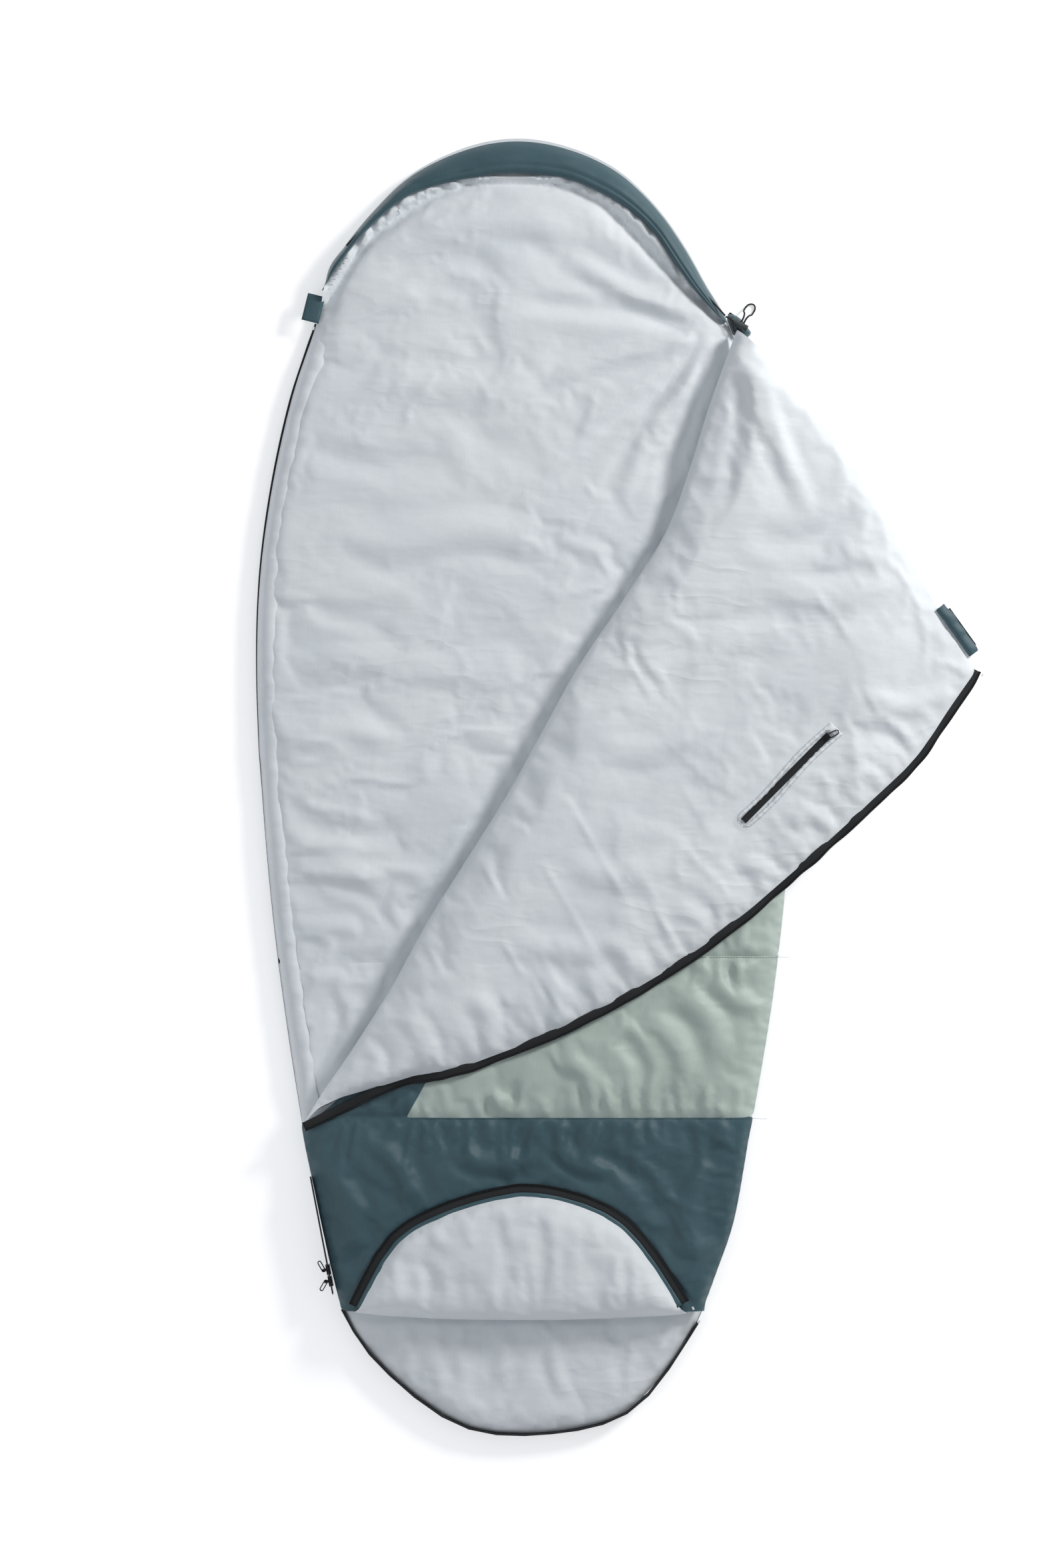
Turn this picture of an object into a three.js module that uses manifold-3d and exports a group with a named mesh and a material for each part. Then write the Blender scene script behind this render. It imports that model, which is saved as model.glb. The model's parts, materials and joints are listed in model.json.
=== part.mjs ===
// A hooded, egg-shaped quilted sleeping bag lying open on its back.
//
// Millimetres, +Z up. The outlines are written in the bag's own plan: x across, 0 on the
// centre line, y towards the hood. The group at the end shifts that plan so that the
// origin is the bottom centre of the whole part, unfolded cover included.

import * as THREE from 'three';
import { mergeVertices } from 'three/addons/utils/BufferGeometryUtils.js';
import Module from 'manifold-3d';

const wasm = await Module();
wasm.setup();

// ---------------------------------------------------------------- driving dimensions

const PLAN_CENTRE = [158, -1];
const GAP = 0.3; // clearance between pieces that touch
const CLOTH = 1.2; // a face cloth or lining with its seam allowance
const QUILT = 24; // base batting
const COVER_QUILT = 22; // cover batting, one layer thinner than the base
const INSIDE = 8; // slack space between the base and the closed cover
const EDGE_INSET = 3; // batting and lining stop short of the zip edge

const BASE_BATTING_Z = CLOTH + GAP;
const BASE_LINING_Z = BASE_BATTING_Z + QUILT + GAP;
const BASE_TOP = BASE_LINING_Z + CLOTH;
const COVER_LINING_Z = BASE_TOP + INSIDE;
const COVER_BATTING_Z = COVER_LINING_Z + CLOTH + GAP;
const COVER_SHELL_Z = COVER_BATTING_Z + COVER_QUILT + GAP;
const COVER_TOP = COVER_SHELL_Z + CLOTH;
const FOLD_Z = COVER_TOP + GAP; // height of both fold creases
const FLAP_SHELL_Z = FOLD_Z + GAP;
const FLAP_BATTING_Z = FLAP_SHELL_Z + CLOTH + GAP;
const FLAP_LINING_Z = FLAP_BATTING_Z + COVER_QUILT + GAP;
const FLAP_TOP = FLAP_LINING_Z + CLOTH;
const FLAP_MIDDLE = (FLAP_SHELL_Z + FLAP_TOP) / 2;

const NECK_Y = 786; // seam between the body and the hood
const LINING_SEAM_Y = -292; // cross seam in the base lining
const QUILT_SEAM_Y = -280; // quilting seam in the sage cover shell
const COLOUR_SEAM_Y = -546; // sage shell above, teal shell below
const FOOT_CREASE_Y = -865; // the cover's foot end folds up here

const FOLD_TOP = [352, 748]; // the cover's diagonal crease, at the hood
const FOLD_FOOT = [-322, -570]; // and at the foot
const ZIP_STRAIGHT_TOP = [-355, -620]; // the zip runs straight between these two
const ZIP_STRAIGHT_END = [-313, -840];

const DROOP_X = 530; // past here the folded cover sinks towards the ground
const DROOP_SLOPE = 0.2;

const TAPE = 1.2; // zip tape, thickness
const TAPE_LOW = 8; // the base's tape stands on edge between these heights
const TAPE_HIGH = 24;
const COIL = 3; // zip coil, square section
const COVER_TAPE_WIDTH = 12;
const FOOT_TAPE_WIDTH = 17;

const SLIDER_LENGTH = 17;
const SIDE_SLIDER_Y = -799;
const FOOT_SLIDER_Y = -818;
const PULL_LENGTH = 21;
const PULL_WIDTH = 7;

const CORD_RADIUS = 1.5;

// ---------------------------------------------------------------- materials

function cloth(colour) {
  return new THREE.MeshStandardMaterial({ color: colour, roughness: 0.75, metalness: 0 });
}

const TEAL = cloth(0x3f5f66);
const SAGE = cloth(0xb4c3b1);
const LINING = cloth(0xd3dade);
const BATTING = cloth(0xf2f2ef);
const BLACK_TAPE = cloth(0x16191b);
const HOOK = cloth(0x22282a);
const CORD = cloth(0x1c2022);
const COIL_PLASTIC = new THREE.MeshStandardMaterial({ color: 0x101214, roughness: 0.4 });
const LOCK_PLASTIC = new THREE.MeshStandardMaterial({ color: 0x1b2023, roughness: 0.45 });
const STOP_PLASTIC = new THREE.MeshStandardMaterial({ color: 0xf0f0ec, roughness: 0.4 });
const SLIDER_METAL = new THREE.MeshStandardMaterial({
  color: 0x1a1c1e, roughness: 0.35, metalness: 0.6,
});
const SPRING_STEEL = new THREE.MeshStandardMaterial({
  color: 0xb9bcc0, roughness: 0.3, metalness: 1,
});

// ---------------------------------------------------------------- plan geometry

const bag = new THREE.Group();
bag.position.set(-PLAN_CENTRE[0], -PLAN_CENTRE[1], 0);

function add(name, geometry, material) {
  const mesh = new THREE.Mesh(geometry, material);
  mesh.name = name;
  bag.add(mesh);
  return mesh;
}

function smooth(points, steps) {
  const curve = new THREE.SplineCurve(points.map(([x, y]) => new THREE.Vector2(x, y)));
  return curve.getPoints(steps).map((p) => [p.x, p.y]);
}

function unit([x, y]) {
  const size = Math.hypot(x, y);
  return [x / size, y / size];
}

// The part of an outline on the side of the line that the normal points to.
function clip(outline, [px, py], [nx, ny]) {
  const side = ([x, y]) => (x - px) * nx + (y - py) * ny;
  const kept = [];
  outline.forEach((here, i) => {
    const next = outline[(i + 1) % outline.length];
    const a = side(here);
    const b = side(next);
    if (a >= 0) kept.push(here);
    if (a * b < 0) {
      const t = a / (a - b);
      kept.push([here[0] + t * (next[0] - here[0]), here[1] + t * (next[1] - here[1])]);
    }
  });
  return kept;
}

const above = (outline, y) => clip(outline, [0, y], [0, 1]);
const below = (outline, y) => clip(outline, [0, y], [0, -1]);

// A path moved sideways. Positive is to the left of the way that it runs.
function offset(path, distance, closed = false) {
  const last = path.length - 1;
  return path.map(([x, y], i) => {
    const before = path[i > 0 ? i - 1 : closed ? last : 0];
    const after = path[i < last ? i + 1 : closed ? 0 : last];
    const [tx, ty] = unit([after[0] - before[0], after[1] - before[1]]);
    return [x - ty * distance, y + tx * distance];
  });
}

// ---------------------------------------------------------------- solids

function slab(outline, low, high) {
  const shape = new THREE.Shape(outline.map(([x, y]) => new THREE.Vector2(x, y)));
  const geometry = new THREE.ExtrudeGeometry(shape, { depth: high - low, bevelEnabled: false });
  return geometry.translate(0, 0, low);
}

// A strip beside a path, between two distances from it and two heights.
function ribbon(path, near, far, low, high) {
  return slab([...offset(path, near), ...offset(path, far).reverse()], low, high);
}

function tube(points, radius, steps, sides = 8) {
  const section = new THREE.Shape();
  for (let i = 0; i < sides; i += 1) {
    const angle = (2 * Math.PI * i) / sides;
    const corner = [radius * Math.cos(angle), radius * Math.sin(angle)];
    if (i === 0) section.moveTo(...corner);
    else section.lineTo(...corner);
  }
  const path = new THREE.CatmullRomCurve3(points.map((p) => new THREE.Vector3(...p)));
  return new THREE.ExtrudeGeometry(section, { steps, extrudePath: path, bevelEnabled: false });
}

// A box on two plan directions: along from the centre, and across it.
function block([cx, cy], along, length, width, low, high) {
  const [ax, ay] = along;
  const corners = [[-1, -1], [1, -1], [1, 1], [-1, 1]].map(([i, j]) => [
    cx + (ax * i * length) / 2 - (ay * j * width) / 2,
    cy + (ay * i * length) / 2 + (ax * j * width) / 2,
  ]);
  return slab(corners, low, high);
}

// The sag of everything on the folded cover that lies past its droop line.
function droop(geometry) {
  const place = geometry.attributes.position;
  for (let i = 0; i < place.count; i += 1) {
    const past = Math.max(0, place.getX(i) - DROOP_X);
    place.setZ(i, place.getZ(i) - past * DROOP_SLOPE);
  }
  return geometry;
}

// ---------------------------------------------------------------- cutting and joining

function solid(geometry) {
  const bare = new THREE.BufferGeometry();
  bare.setAttribute('position', geometry.attributes.position.clone());
  if (geometry.index) bare.setIndex(geometry.index.clone());
  const merged = mergeVertices(bare, 1e-4);
  return new wasm.Manifold(new wasm.Mesh({
    numProp: 3,
    vertProperties: new Float32Array(merged.attributes.position.array),
    triVerts: new Uint32Array(merged.index.array),
  }));
}

function geometryOf(manifold) {
  const mesh = manifold.getMesh();
  const geometry = new THREE.BufferGeometry();
  const places = new Float32Array(mesh.vertProperties);
  geometry.setAttribute('position', new THREE.BufferAttribute(places, 3));
  geometry.setIndex(new THREE.BufferAttribute(new Uint32Array(mesh.triVerts), 1));
  geometry.computeVertexNormals();
  return geometry;
}

function join(...geometries) {
  const parts = geometries.map(solid);
  return geometryOf(parts.slice(1).reduce((whole, part) => whole.add(part), parts[0]));
}

function cut(geometry, ...tools) {
  return geometryOf(tools.reduce((left, tool) => left.subtract(solid(tool)), solid(geometry)));
}

// A slab that is flat up to the droop line and slopes down past it.
function droopedSlab(outline, low, high) {
  const flat = slab(clip(outline, [DROOP_X, 0], [-1, 0]), low, high);
  const sloped = droop(slab(clip(outline, [DROOP_X, 0], [1, 0]), low, high));
  return join(flat, sloped);
}

// ---------------------------------------------------------------- outlines

// The left edge runs down from the neck to the foot, along the side zip.
const leftEdge = [
  ...smooth([[-334, 790], [-385, 639], [-429, 419], [-442, 199], [-432, -21], [-412, -241],
    [-382, -461], ZIP_STRAIGHT_TOP], 22),
  ZIP_STRAIGHT_END,
];

// The foot runs from the end of the straight zip round to the right side.
const footEdge = smooth([ZIP_STRAIGHT_END, [-243, -951], [-104, -1057], [47, -1070], [183, -1029],
  [283, -897], [302, -846]], 20);

// The right edge runs up from the foot to the neck.
const rightEdge = smooth([[302, -846], [344, -736], [375, -571], [404, -406], [432, -186],
  [442, 80], [438, 300], [412, 520], [372, 680], [337, 776]], 24);

// The hood's outer edge runs from the right end of its rim to the left one.
const hoodEdge = smooth([[337, 776], [306, 826], [247, 926], [163, 1017], [50, 1066], [-67, 1067],
  [-195, 1007], [-283, 909], [-323, 855], [-334, 790]], 26);

const egg = [...leftEdge.slice(0, -1), ...footEdge.slice(0, -1), ...rightEdge.slice(0, -1),
  ...hoodEdge.slice(0, -1)];
const eggInside = offset(egg, EDGE_INSET, true);

const foldAlong = unit([FOLD_FOOT[0] - FOLD_TOP[0], FOLD_FOOT[1] - FOLD_TOP[1]]);
const foldRight = [-foldAlong[1], foldAlong[0]];

function fixedCover(outline) {
  const right = clip(outline, FOLD_TOP, foldRight);
  return below(above(right, FOOT_CREASE_Y + GAP), FOLD_TOP[1]);
}

// The folded cover: its collar edge, its corner, and its zip edge back to the crease.
const collarEdge = smooth([FOLD_TOP, [382, 727], [455, 643], [553, 510], [617, 406], [686, 291],
  [740, 218]], 12);
const flapZipEdge = smooth([[748, 190], [707, 133], [648, 48], [578, -19], [480, -109],
  [302, -258], [107, -376], [-96, -460], [-206, -478], [-262, -489], [-298, -523]], 26);
const foldSide = [FOLD_TOP[0] + foldRight[0] * GAP, FOLD_TOP[1] + foldRight[1] * GAP];
const flapOutline = clip([...collarEdge, ...flapZipEdge], foldSide, foldRight);

// The foot flap, folded up over its crease.
const footFlapArc = smooth([[262, FOOT_CREASE_Y], [196, -764], [132, -706], [30, -675],
  [-48, -681], [-150, -715], [-215, -762], [-272, FOOT_CREASE_Y]], 18);

// ---------------------------------------------------------------- base and hood

const PILE = [
  // name, outline, low, high, material
  ['base_shell', below(egg, NECK_Y - GAP), 0, CLOTH, TEAL],
  ['base_insulation', below(eggInside, NECK_Y - GAP), BASE_BATTING_Z, BASE_BATTING_Z + QUILT,
    BATTING],
  ['base_lining_upper', above(below(eggInside, NECK_Y - GAP), LINING_SEAM_Y), BASE_LINING_Z,
    BASE_TOP, LINING],
  ['base_lining_lower', below(eggInside, LINING_SEAM_Y - GAP), BASE_LINING_Z, BASE_TOP, LINING],
  ['hood_shell', above(egg, NECK_Y), 0, CLOTH, TEAL],
  ['hood_insulation', above(eggInside, NECK_Y), BASE_BATTING_Z, BASE_BATTING_Z + QUILT, BATTING],
  ['hood_lining', above(eggInside, NECK_Y), BASE_LINING_Z, BASE_TOP, LINING],
];
for (const [name, outline, low, high, material] of PILE) {
  add(name, slab(outline, low, high), material);
}

// A padded strip behind the side zip, which keeps the draught out.
const draftPath = smooth([[-352, 740], [-429, 419], [-442, 199], [-412, -241], [-382, -461],
  [-362, -560]], 16);
add('side_draft_tube', ribbon(draftPath, 8, 36, BASE_TOP + GAP, BASE_TOP + 4), LINING);

// The hood's padded rim, with a tunnel that the drawcord runs in.
const RIM_TOP = 52;
const CORD_Z = 40;
const RIM_END = [334, 778];
const rimOuter = offset(hoodEdge, EDGE_INSET).filter(([, y]) => y > NECK_Y - 8);
const rimInner = smooth([[-318, 820], [-303, 865], [-259, 919], [-195, 973], [-136, 995],
  [-19, 1013], [60, 1007], [109, 990], [168, 958], [217, 914], [257, 855], [291, 811],
  [322, 772]], 22);
const rim = slab([...rimOuter, ...rimInner], BASE_TOP + GAP, RIM_TOP);
const cordArc = [[-292, 894], [-259, 928], [-195, 982], [-136, 1004], [-19, 1022], [60, 1016],
  [113, 999], [174, 966], [225, 919], [266, 860], [300, 816], RIM_END];
const tunnelPath = [...cordArc, [343, 761]].map(([x, y]) => [x, y, CORD_Z]);
add('hood_rim', cut(rim, tube(tunnelPath, CORD_RADIUS + 1, 48)), TEAL);

// The corner where the rim ends: a small padded gusset that the cord lock lies on.
const gusset = [[336, 772], [342, 752], [368, 740], [380, 752], [362, 776], [342, 788]];
const GUSSET_TOP = 27;
const bagSpace = slab(offset(egg, -2 * GAP, true), -1, GUSSET_TOP + 1);
add('hood_corner_gusset', cut(slab(gusset, 0, GUSSET_TOP), bagSpace), TEAL);

// ---------------------------------------------------------------- drawcord and cord lock

const LOCK_CENTRE = [360, 762];
const LOCK_LENGTH = 24;
const LOCK_WIDTH = 12;
const LOCK_Z = GUSSET_TOP + GAP + LOCK_WIDTH / 2;
const lockAlong = unit([21, -11]); // the way that the button is pressed
const cordAlong = [-lockAlong[1], lockAlong[0]]; // the cord crosses the lock
const CORD_SPLIT = 2.4; // the cord's two runs pass this far either side of the middle

function besideLock(alongLock, alongCord) {
  return [
    LOCK_CENTRE[0] + lockAlong[0] * alongLock + cordAlong[0] * alongCord,
    LOCK_CENTRE[1] + lockAlong[1] * alongLock + cordAlong[1] * alongCord,
  ];
}

// The cord inside the rim, sewn down at the left and leaving at the right end.
const hiddenCord = cordArc.map(([x, y]) => [x, y, CORD_Z]);
add('drawcord', tube(hiddenCord, CORD_RADIUS, 48), CORD);

// The free loop: from the rim through the lock, down to the ground, round, back through
// the lock, and down to the gusset, where its end is sewn.
const loopPath = [
  [RIM_END[0] + 0.6, RIM_END[1] - 1.5, CORD_Z],
  [...besideLock(-15, 0), CORD_Z + 2.5],
  [...besideLock(-10, -7), CORD_Z + 1.5],
  [...besideLock(-5, -13), LOCK_Z + 2.5],
  [...besideLock(-CORD_SPLIT - 0.3, -10), LOCK_Z + 0.2],
  [...besideLock(-CORD_SPLIT, -6.5), LOCK_Z],
  [...besideLock(-CORD_SPLIT, 0), LOCK_Z],
  [...besideLock(-CORD_SPLIT, 6), LOCK_Z],
  [...besideLock(-CORD_SPLIT, 12), LOCK_Z],
  [...besideLock(-CORD_SPLIT - 0.5, 17), LOCK_Z - 1],
  [...besideLock(-CORD_SPLIT - 2, 22), LOCK_Z - 6],
  [...besideLock(-CORD_SPLIT - 4, 25), 18],
  [...besideLock(-CORD_SPLIT - 5, 28), 8],
  [...besideLock(-CORD_SPLIT - 5, 34), 2],
  [...besideLock(-CORD_SPLIT - 3, 41), 1.8],
  [...besideLock(0, 45), 1.8],
  [...besideLock(5, 44), 1.8],
  [...besideLock(8, 39), 1.8],
  [...besideLock(8, 33), 2.5],
  [...besideLock(7.5, 28), 8],
  [...besideLock(6.5, 25), 18],
  [...besideLock(4.5, 22), LOCK_Z - 6],
  [...besideLock(CORD_SPLIT + 0.5, 17), LOCK_Z - 1],
  [...besideLock(CORD_SPLIT, 12), LOCK_Z],
  [...besideLock(CORD_SPLIT, 6), LOCK_Z],
  [...besideLock(CORD_SPLIT, 0), LOCK_Z],
  [...besideLock(CORD_SPLIT, -7), LOCK_Z],
  [...besideLock(CORD_SPLIT, -11), LOCK_Z - 1],
  [...besideLock(CORD_SPLIT, -15), GUSSET_TOP + CORD_RADIUS + 2 * GAP],
];
add('drawcord_loop', tube(loopPath, CORD_RADIUS, 76), CORD);

// The lock is a barrel with a well. A spring in the well pushes a slotted button.
function barrel(radius, from, to, sides = 20) {
  const geometry = new THREE.CylinderGeometry(radius, radius, to - from, sides);
  geometry.translate(0, (from + to) / 2, 0);
  geometry.rotateZ(Math.atan2(lockAlong[1], lockAlong[0]) - Math.PI / 2);
  return geometry.translate(LOCK_CENTRE[0], LOCK_CENTRE[1], LOCK_Z);
}
const WELL_RADIUS = 4.2;
const WELL_FLOOR = 10.7;
const BUTTON_RADIUS = 3.9;
const BUTTON_END = 6.3;
const BUTTON_TRAVEL = 2;
const HEAD_FROM = -17.5;
const HEAD_TO = -LOCK_LENGTH / 2 - BUTTON_TRAVEL - GAP;
const CORD_HOLE = CORD_RADIUS + 0.4;
const SLOT_TO = CORD_SPLIT + CORD_HOLE + 0.2;

function acrossLock(from, to, halfHeight) {
  return block(besideLock((from + to) / 2, 0), lockAlong, to - from, 2 * LOCK_WIDTH,
    LOCK_Z - halfHeight, LOCK_Z + halfHeight);
}
add('cord_lock_body', cut(
  barrel(LOCK_WIDTH / 2, -LOCK_LENGTH / 2, LOCK_LENGTH / 2),
  barrel(WELL_RADIUS, -LOCK_LENGTH, WELL_FLOOR),
  acrossLock(-CORD_SPLIT - CORD_HOLE, CORD_SPLIT + CORD_HOLE, CORD_HOLE),
), LOCK_PLASTIC);
add('cord_lock_button', cut(
  join(barrel(BUTTON_RADIUS, HEAD_TO - 1, BUTTON_END), barrel(5.3, HEAD_FROM, HEAD_TO)),
  acrossLock(-SLOT_TO - BUTTON_TRAVEL, SLOT_TO, CORD_HOLE),
), LOCK_PLASTIC);

function coilSpring(from, to, turns, radius, wire) {
  const steps = 12 * turns;
  const points = [];
  for (let i = 0; i <= steps; i += 1) {
    const angle = (2 * Math.PI * turns * i) / steps;
    const [x, y] = besideLock(from + wire + ((to - from - 2 * wire) * i) / steps,
      radius * Math.cos(angle));
    points.push([x, y, LOCK_Z + radius * Math.sin(angle)]);
  }
  return tube(points, wire, steps, 6);
}
add('cord_lock_spring', coilSpring(8.5, WELL_FLOOR - GAP, 2, 3, 0.3), SPRING_STEEL);

// ---------------------------------------------------------------- the cover that stays closed

const coverOutline = fixedCover(egg);
const coverInside = fixedCover(eggInside);
add('cover_lining', slab(coverInside, COVER_LINING_Z, COVER_LINING_Z + CLOTH), LINING);
add('cover_insulation', slab(coverInside, COVER_BATTING_Z, COVER_BATTING_Z + COVER_QUILT), BATTING);
add('cover_shell_upper', slab(above(coverOutline, QUILT_SEAM_Y), COVER_SHELL_Z, COVER_TOP), SAGE);
add('cover_shell_lower', slab(
  below(above(coverOutline, COLOUR_SEAM_Y), QUILT_SEAM_Y - GAP), COVER_SHELL_Z, COVER_TOP,
), SAGE);
add('cover_shell_foot', slab(below(coverOutline, COLOUR_SEAM_Y - GAP), COVER_SHELL_Z, COVER_TOP),
  TEAL);

// The sewn right side, which joins the base and the cover.
const seamPath = rightEdge.filter(([, y]) => y > FOOT_CREASE_Y && y < FOLD_TOP[1]);
add('right_side_seam', ribbon(seamPath, GAP, GAP + CLOTH, CLOTH + GAP, COVER_SHELL_Z - GAP), SAGE);

// ---------------------------------------------------------------- side and foot zips

const COIL_HIGH = TAPE_HIGH + GAP + COIL;
const COVER_COIL_LOW = 32.7;
const COVER_TAPE_LOW = COVER_COIL_LOW + COIL + GAP;
const COVER_TAPE_HIGH = COVER_TAPE_LOW + 16;

// Paths run with the bag on their left, so the outside is a negative offset.
function standingZip(prefix, suffix, path, tapeZ, coilZ) {
  add(`${prefix}_zip_tape_${suffix}`, ribbon(path, -GAP - TAPE, -GAP, ...tapeZ), BLACK_TAPE);
  add(`${prefix}_zip_coil_${suffix}`, ribbon(path, -COIL, -GAP, ...coilZ), COIL_PLASTIC);
}

const baseTapeZ = [TAPE_LOW, TAPE_HIGH];
const baseCoilZ = [TAPE_HIGH + GAP, COIL_HIGH];
const footPath = footEdge.filter(([x], i) => i > 0 && x < 290);
const zipTop = leftEdge.filter(([, y]) => y < 760);
standingZip('side', 'base', zipTop, baseTapeZ, baseCoilZ);
standingZip('foot', 'base', footPath, baseTapeZ, baseCoilZ);

const straightAlong = unit([ZIP_STRAIGHT_END[0] - ZIP_STRAIGHT_TOP[0],
  ZIP_STRAIGHT_END[1] - ZIP_STRAIGHT_TOP[1]]);
const straightOut = [straightAlong[1], -straightAlong[0]];

function onStraight(y, out = 0) {
  const t = (y - ZIP_STRAIGHT_TOP[1]) / (ZIP_STRAIGHT_END[1] - ZIP_STRAIGHT_TOP[1]);
  return [
    ZIP_STRAIGHT_TOP[0] + t * (ZIP_STRAIGHT_END[0] - ZIP_STRAIGHT_TOP[0]) + straightOut[0] * out,
    y + straightOut[1] * out,
  ];
}

standingZip('side', 'cover', [onStraight(-645), onStraight(-838)],
  [COVER_TAPE_LOW, COVER_TAPE_HIGH], [COVER_COIL_LOW, COVER_COIL_LOW + COIL]);

// A moulded stop just past the end of a coil, at the coil's own distance from the path.
const STOP_LENGTH = 5;
function zipStop(name, end, before, out, low, high) {
  const t = unit([end[0] - before[0], end[1] - before[1]]);
  const reach = STOP_LENGTH / 2 + GAP;
  const centre = [end[0] + t[0] * reach + t[1] * out, end[1] + t[1] * reach - t[0] * out];
  add(name, droop(block(centre, t, STOP_LENGTH, COIL, low, high)), STOP_PLASTIC);
}
const lastTwo = (path) => [path[path.length - 1], path[path.length - 2]];
zipStop('side_zip_stop', zipTop[0], zipTop[1], -GAP - COIL / 2, TAPE_HIGH, COIL_HIGH);
zipStop('foot_zip_stop', ...lastTwo(footPath), GAP + COIL / 2, TAPE_HIGH, COIL_HIGH);

// The short teal strip that closes the right end of the foot opening.
const footCorner = footEdge.filter(([x, y]) => x > 200 && y > -960);
add('foot_gusset', ribbon(footCorner, GAP, GAP + CLOTH, CLOTH + GAP, 44), TEAL);

// One slider: an I section that straddles both coils, with ears and a pin for its pull.
const EAR_REACH = 12;
const HINGE_OUT = 9.5;

function slider(y) {
  const length = SLIDER_LENGTH;
  const [low, high] = [22, 38];
  const plate = (near, far, bottom, top, long) => block(
    onStraight(y, (near + far) / 2), straightAlong, long, far - near, bottom, top,
  );
  const pin = new THREE.CylinderGeometry(1, 1, 6, 12).rotateX(Math.PI / 2);
  pin.translate(...onStraight(y, HINGE_OUT), 30);
  return join(
    plate(COIL + GAP, 5, low, high, length),
    plate(-0.2, COIL + GAP + 0.2, 28.2, 31.8, length - 4),
    plate(-1.7, 0, low, high, length),
    plate(4.8, EAR_REACH, 26.4, 28, 4),
    plate(4.8, EAR_REACH, 32, 33.6, 4),
    pin,
  );
}

// A ring pull, round at both ends, with a slot. It starts at the pin and points away.
function ringPull([x, y], angle, low, high, length = PULL_LENGTH, width = PULL_WIDTH) {
  const stadium = (reach, radius) => {
    const path = new THREE.Shape();
    path.absarc(reach, 0, radius, -Math.PI / 2, Math.PI / 2, false);
    path.absarc(0, 0, radius, Math.PI / 2, 1.5 * Math.PI, false);
    return path.getPoints(8);
  };
  const shape = new THREE.Shape(stadium(length - width, width / 2));
  shape.holes.push(new THREE.Path(stadium(length - width, width / 2 - 1.7).reverse()));
  const geometry = new THREE.ExtrudeGeometry(shape, { depth: high - low, bevelEnabled: false });
  geometry.rotateZ(angle);
  return geometry.translate(x, y, low);
}

const PULL_ANGLES = { side: (120 / 180) * Math.PI, foot: (-120 / 180) * Math.PI };
add('side_slider', slider(SIDE_SLIDER_Y), SLIDER_METAL);
add('side_slider_pull', ringPull(onStraight(SIDE_SLIDER_Y, HINGE_OUT), PULL_ANGLES.side, 29, 31),
  CORD);
add('foot_slider', slider(FOOT_SLIDER_Y), SLIDER_METAL);
add('foot_slider_pull', ringPull(onStraight(FOOT_SLIDER_Y, HINGE_OUT), PULL_ANGLES.foot, 29, 31),
  CORD);

// The tab that covers the top of the zip, with its hook tape.
const garageInner = [[-337, 812], [-348, 768]];
const garageOut = unit([garageInner[1][1] - garageInner[0][1],
  garageInner[0][0] - garageInner[1][0]]);
function garageTab(near, far, trim) {
  const [a, b] = garageInner;
  const t = unit([b[0] - a[0], b[1] - a[1]]);
  const corner = ([x, y], along, out) => [
    x + t[0] * along + garageOut[0] * out, y + t[1] * along + garageOut[1] * out,
  ];
  return [corner(a, trim, near), corner(b, -trim, near), corner(b, -trim, far),
    corner(a, trim, far)];
}
add('zip_garage_tab', slab(garageTab(0, 20, 0), BASE_TOP + GAP, BASE_TOP + GAP + CLOTH), TEAL);
add('zip_garage_hook_tape', slab(garageTab(4, 17, 5), BASE_TOP - 1.5, BASE_TOP), HOOK);

// ---------------------------------------------------------------- the folded cover

const POCKET_LOW = [361, -57];
const POCKET_HIGH = [502, 85];
const pocketAlong = unit([POCKET_HIGH[0] - POCKET_LOW[0], POCKET_HIGH[1] - POCKET_LOW[1]]);
const POCKET_SLIT = Math.hypot(POCKET_HIGH[0] - POCKET_LOW[0], POCKET_HIGH[1] - POCKET_LOW[1]);
const POCKET_BAG_DEPTH = 150;
const POCKET_BAG_Z = [74, 80];
const pocketMiddle = [(POCKET_LOW[0] + POCKET_HIGH[0]) / 2, (POCKET_LOW[1] + POCKET_HIGH[1]) / 2];
const pocketAcross = [-pocketAlong[1], pocketAlong[0]];
const FACING_WIDTH = 40;
const FACING_END = 14;
const SLIT_WIDTH = 12;

function pocketBag(grow) {
  const shift = POCKET_BAG_DEPTH / 2 - 20;
  const centre = [pocketMiddle[0] + pocketAcross[0] * shift,
    pocketMiddle[1] + pocketAcross[1] * shift];
  return block(centre, pocketAlong, POCKET_SLIT + grow, POCKET_BAG_DEPTH + grow,
    POCKET_BAG_Z[0] - grow / 2, POCKET_BAG_Z[1] + grow / 2);
}

add('flap_shell', droopedSlab(flapOutline, FLAP_SHELL_Z, FLAP_SHELL_Z + CLOTH), SAGE);
const flapBatting = droopedSlab(flapOutline, FLAP_BATTING_Z, FLAP_BATTING_Z + COVER_QUILT);
// The batting is open above the pocket bag, so the bag isn't sealed in.
const bagWell = pocketBag(2 * GAP);
const wellMouth = block(pocketMiddle, pocketAlong, POCKET_SLIT, SLIT_WIDTH, POCKET_BAG_Z[1],
  FLAP_LINING_Z);
add('flap_insulation', cut(flapBatting, bagWell, wellMouth), BATTING);
add('flap_lining', droopedSlab(flapOutline, FLAP_LINING_Z, FLAP_TOP), LINING);
add('pocket_bag', pocketBag(0), LINING);

// Its zip lies flat, tape outwards.
function flatZip(prefix, path, width, z) {
  add(`${prefix}_zip_tape`, droop(ribbon(path, -width, -GAP, z, z + TAPE)), BLACK_TAPE);
  const coil = ribbon(path, -width - GAP - COIL, -width - GAP, z - 1, z - 1 + COIL);
  add(`${prefix}_zip_coil`, droop(coil), COIL_PLASTIC);
}
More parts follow.
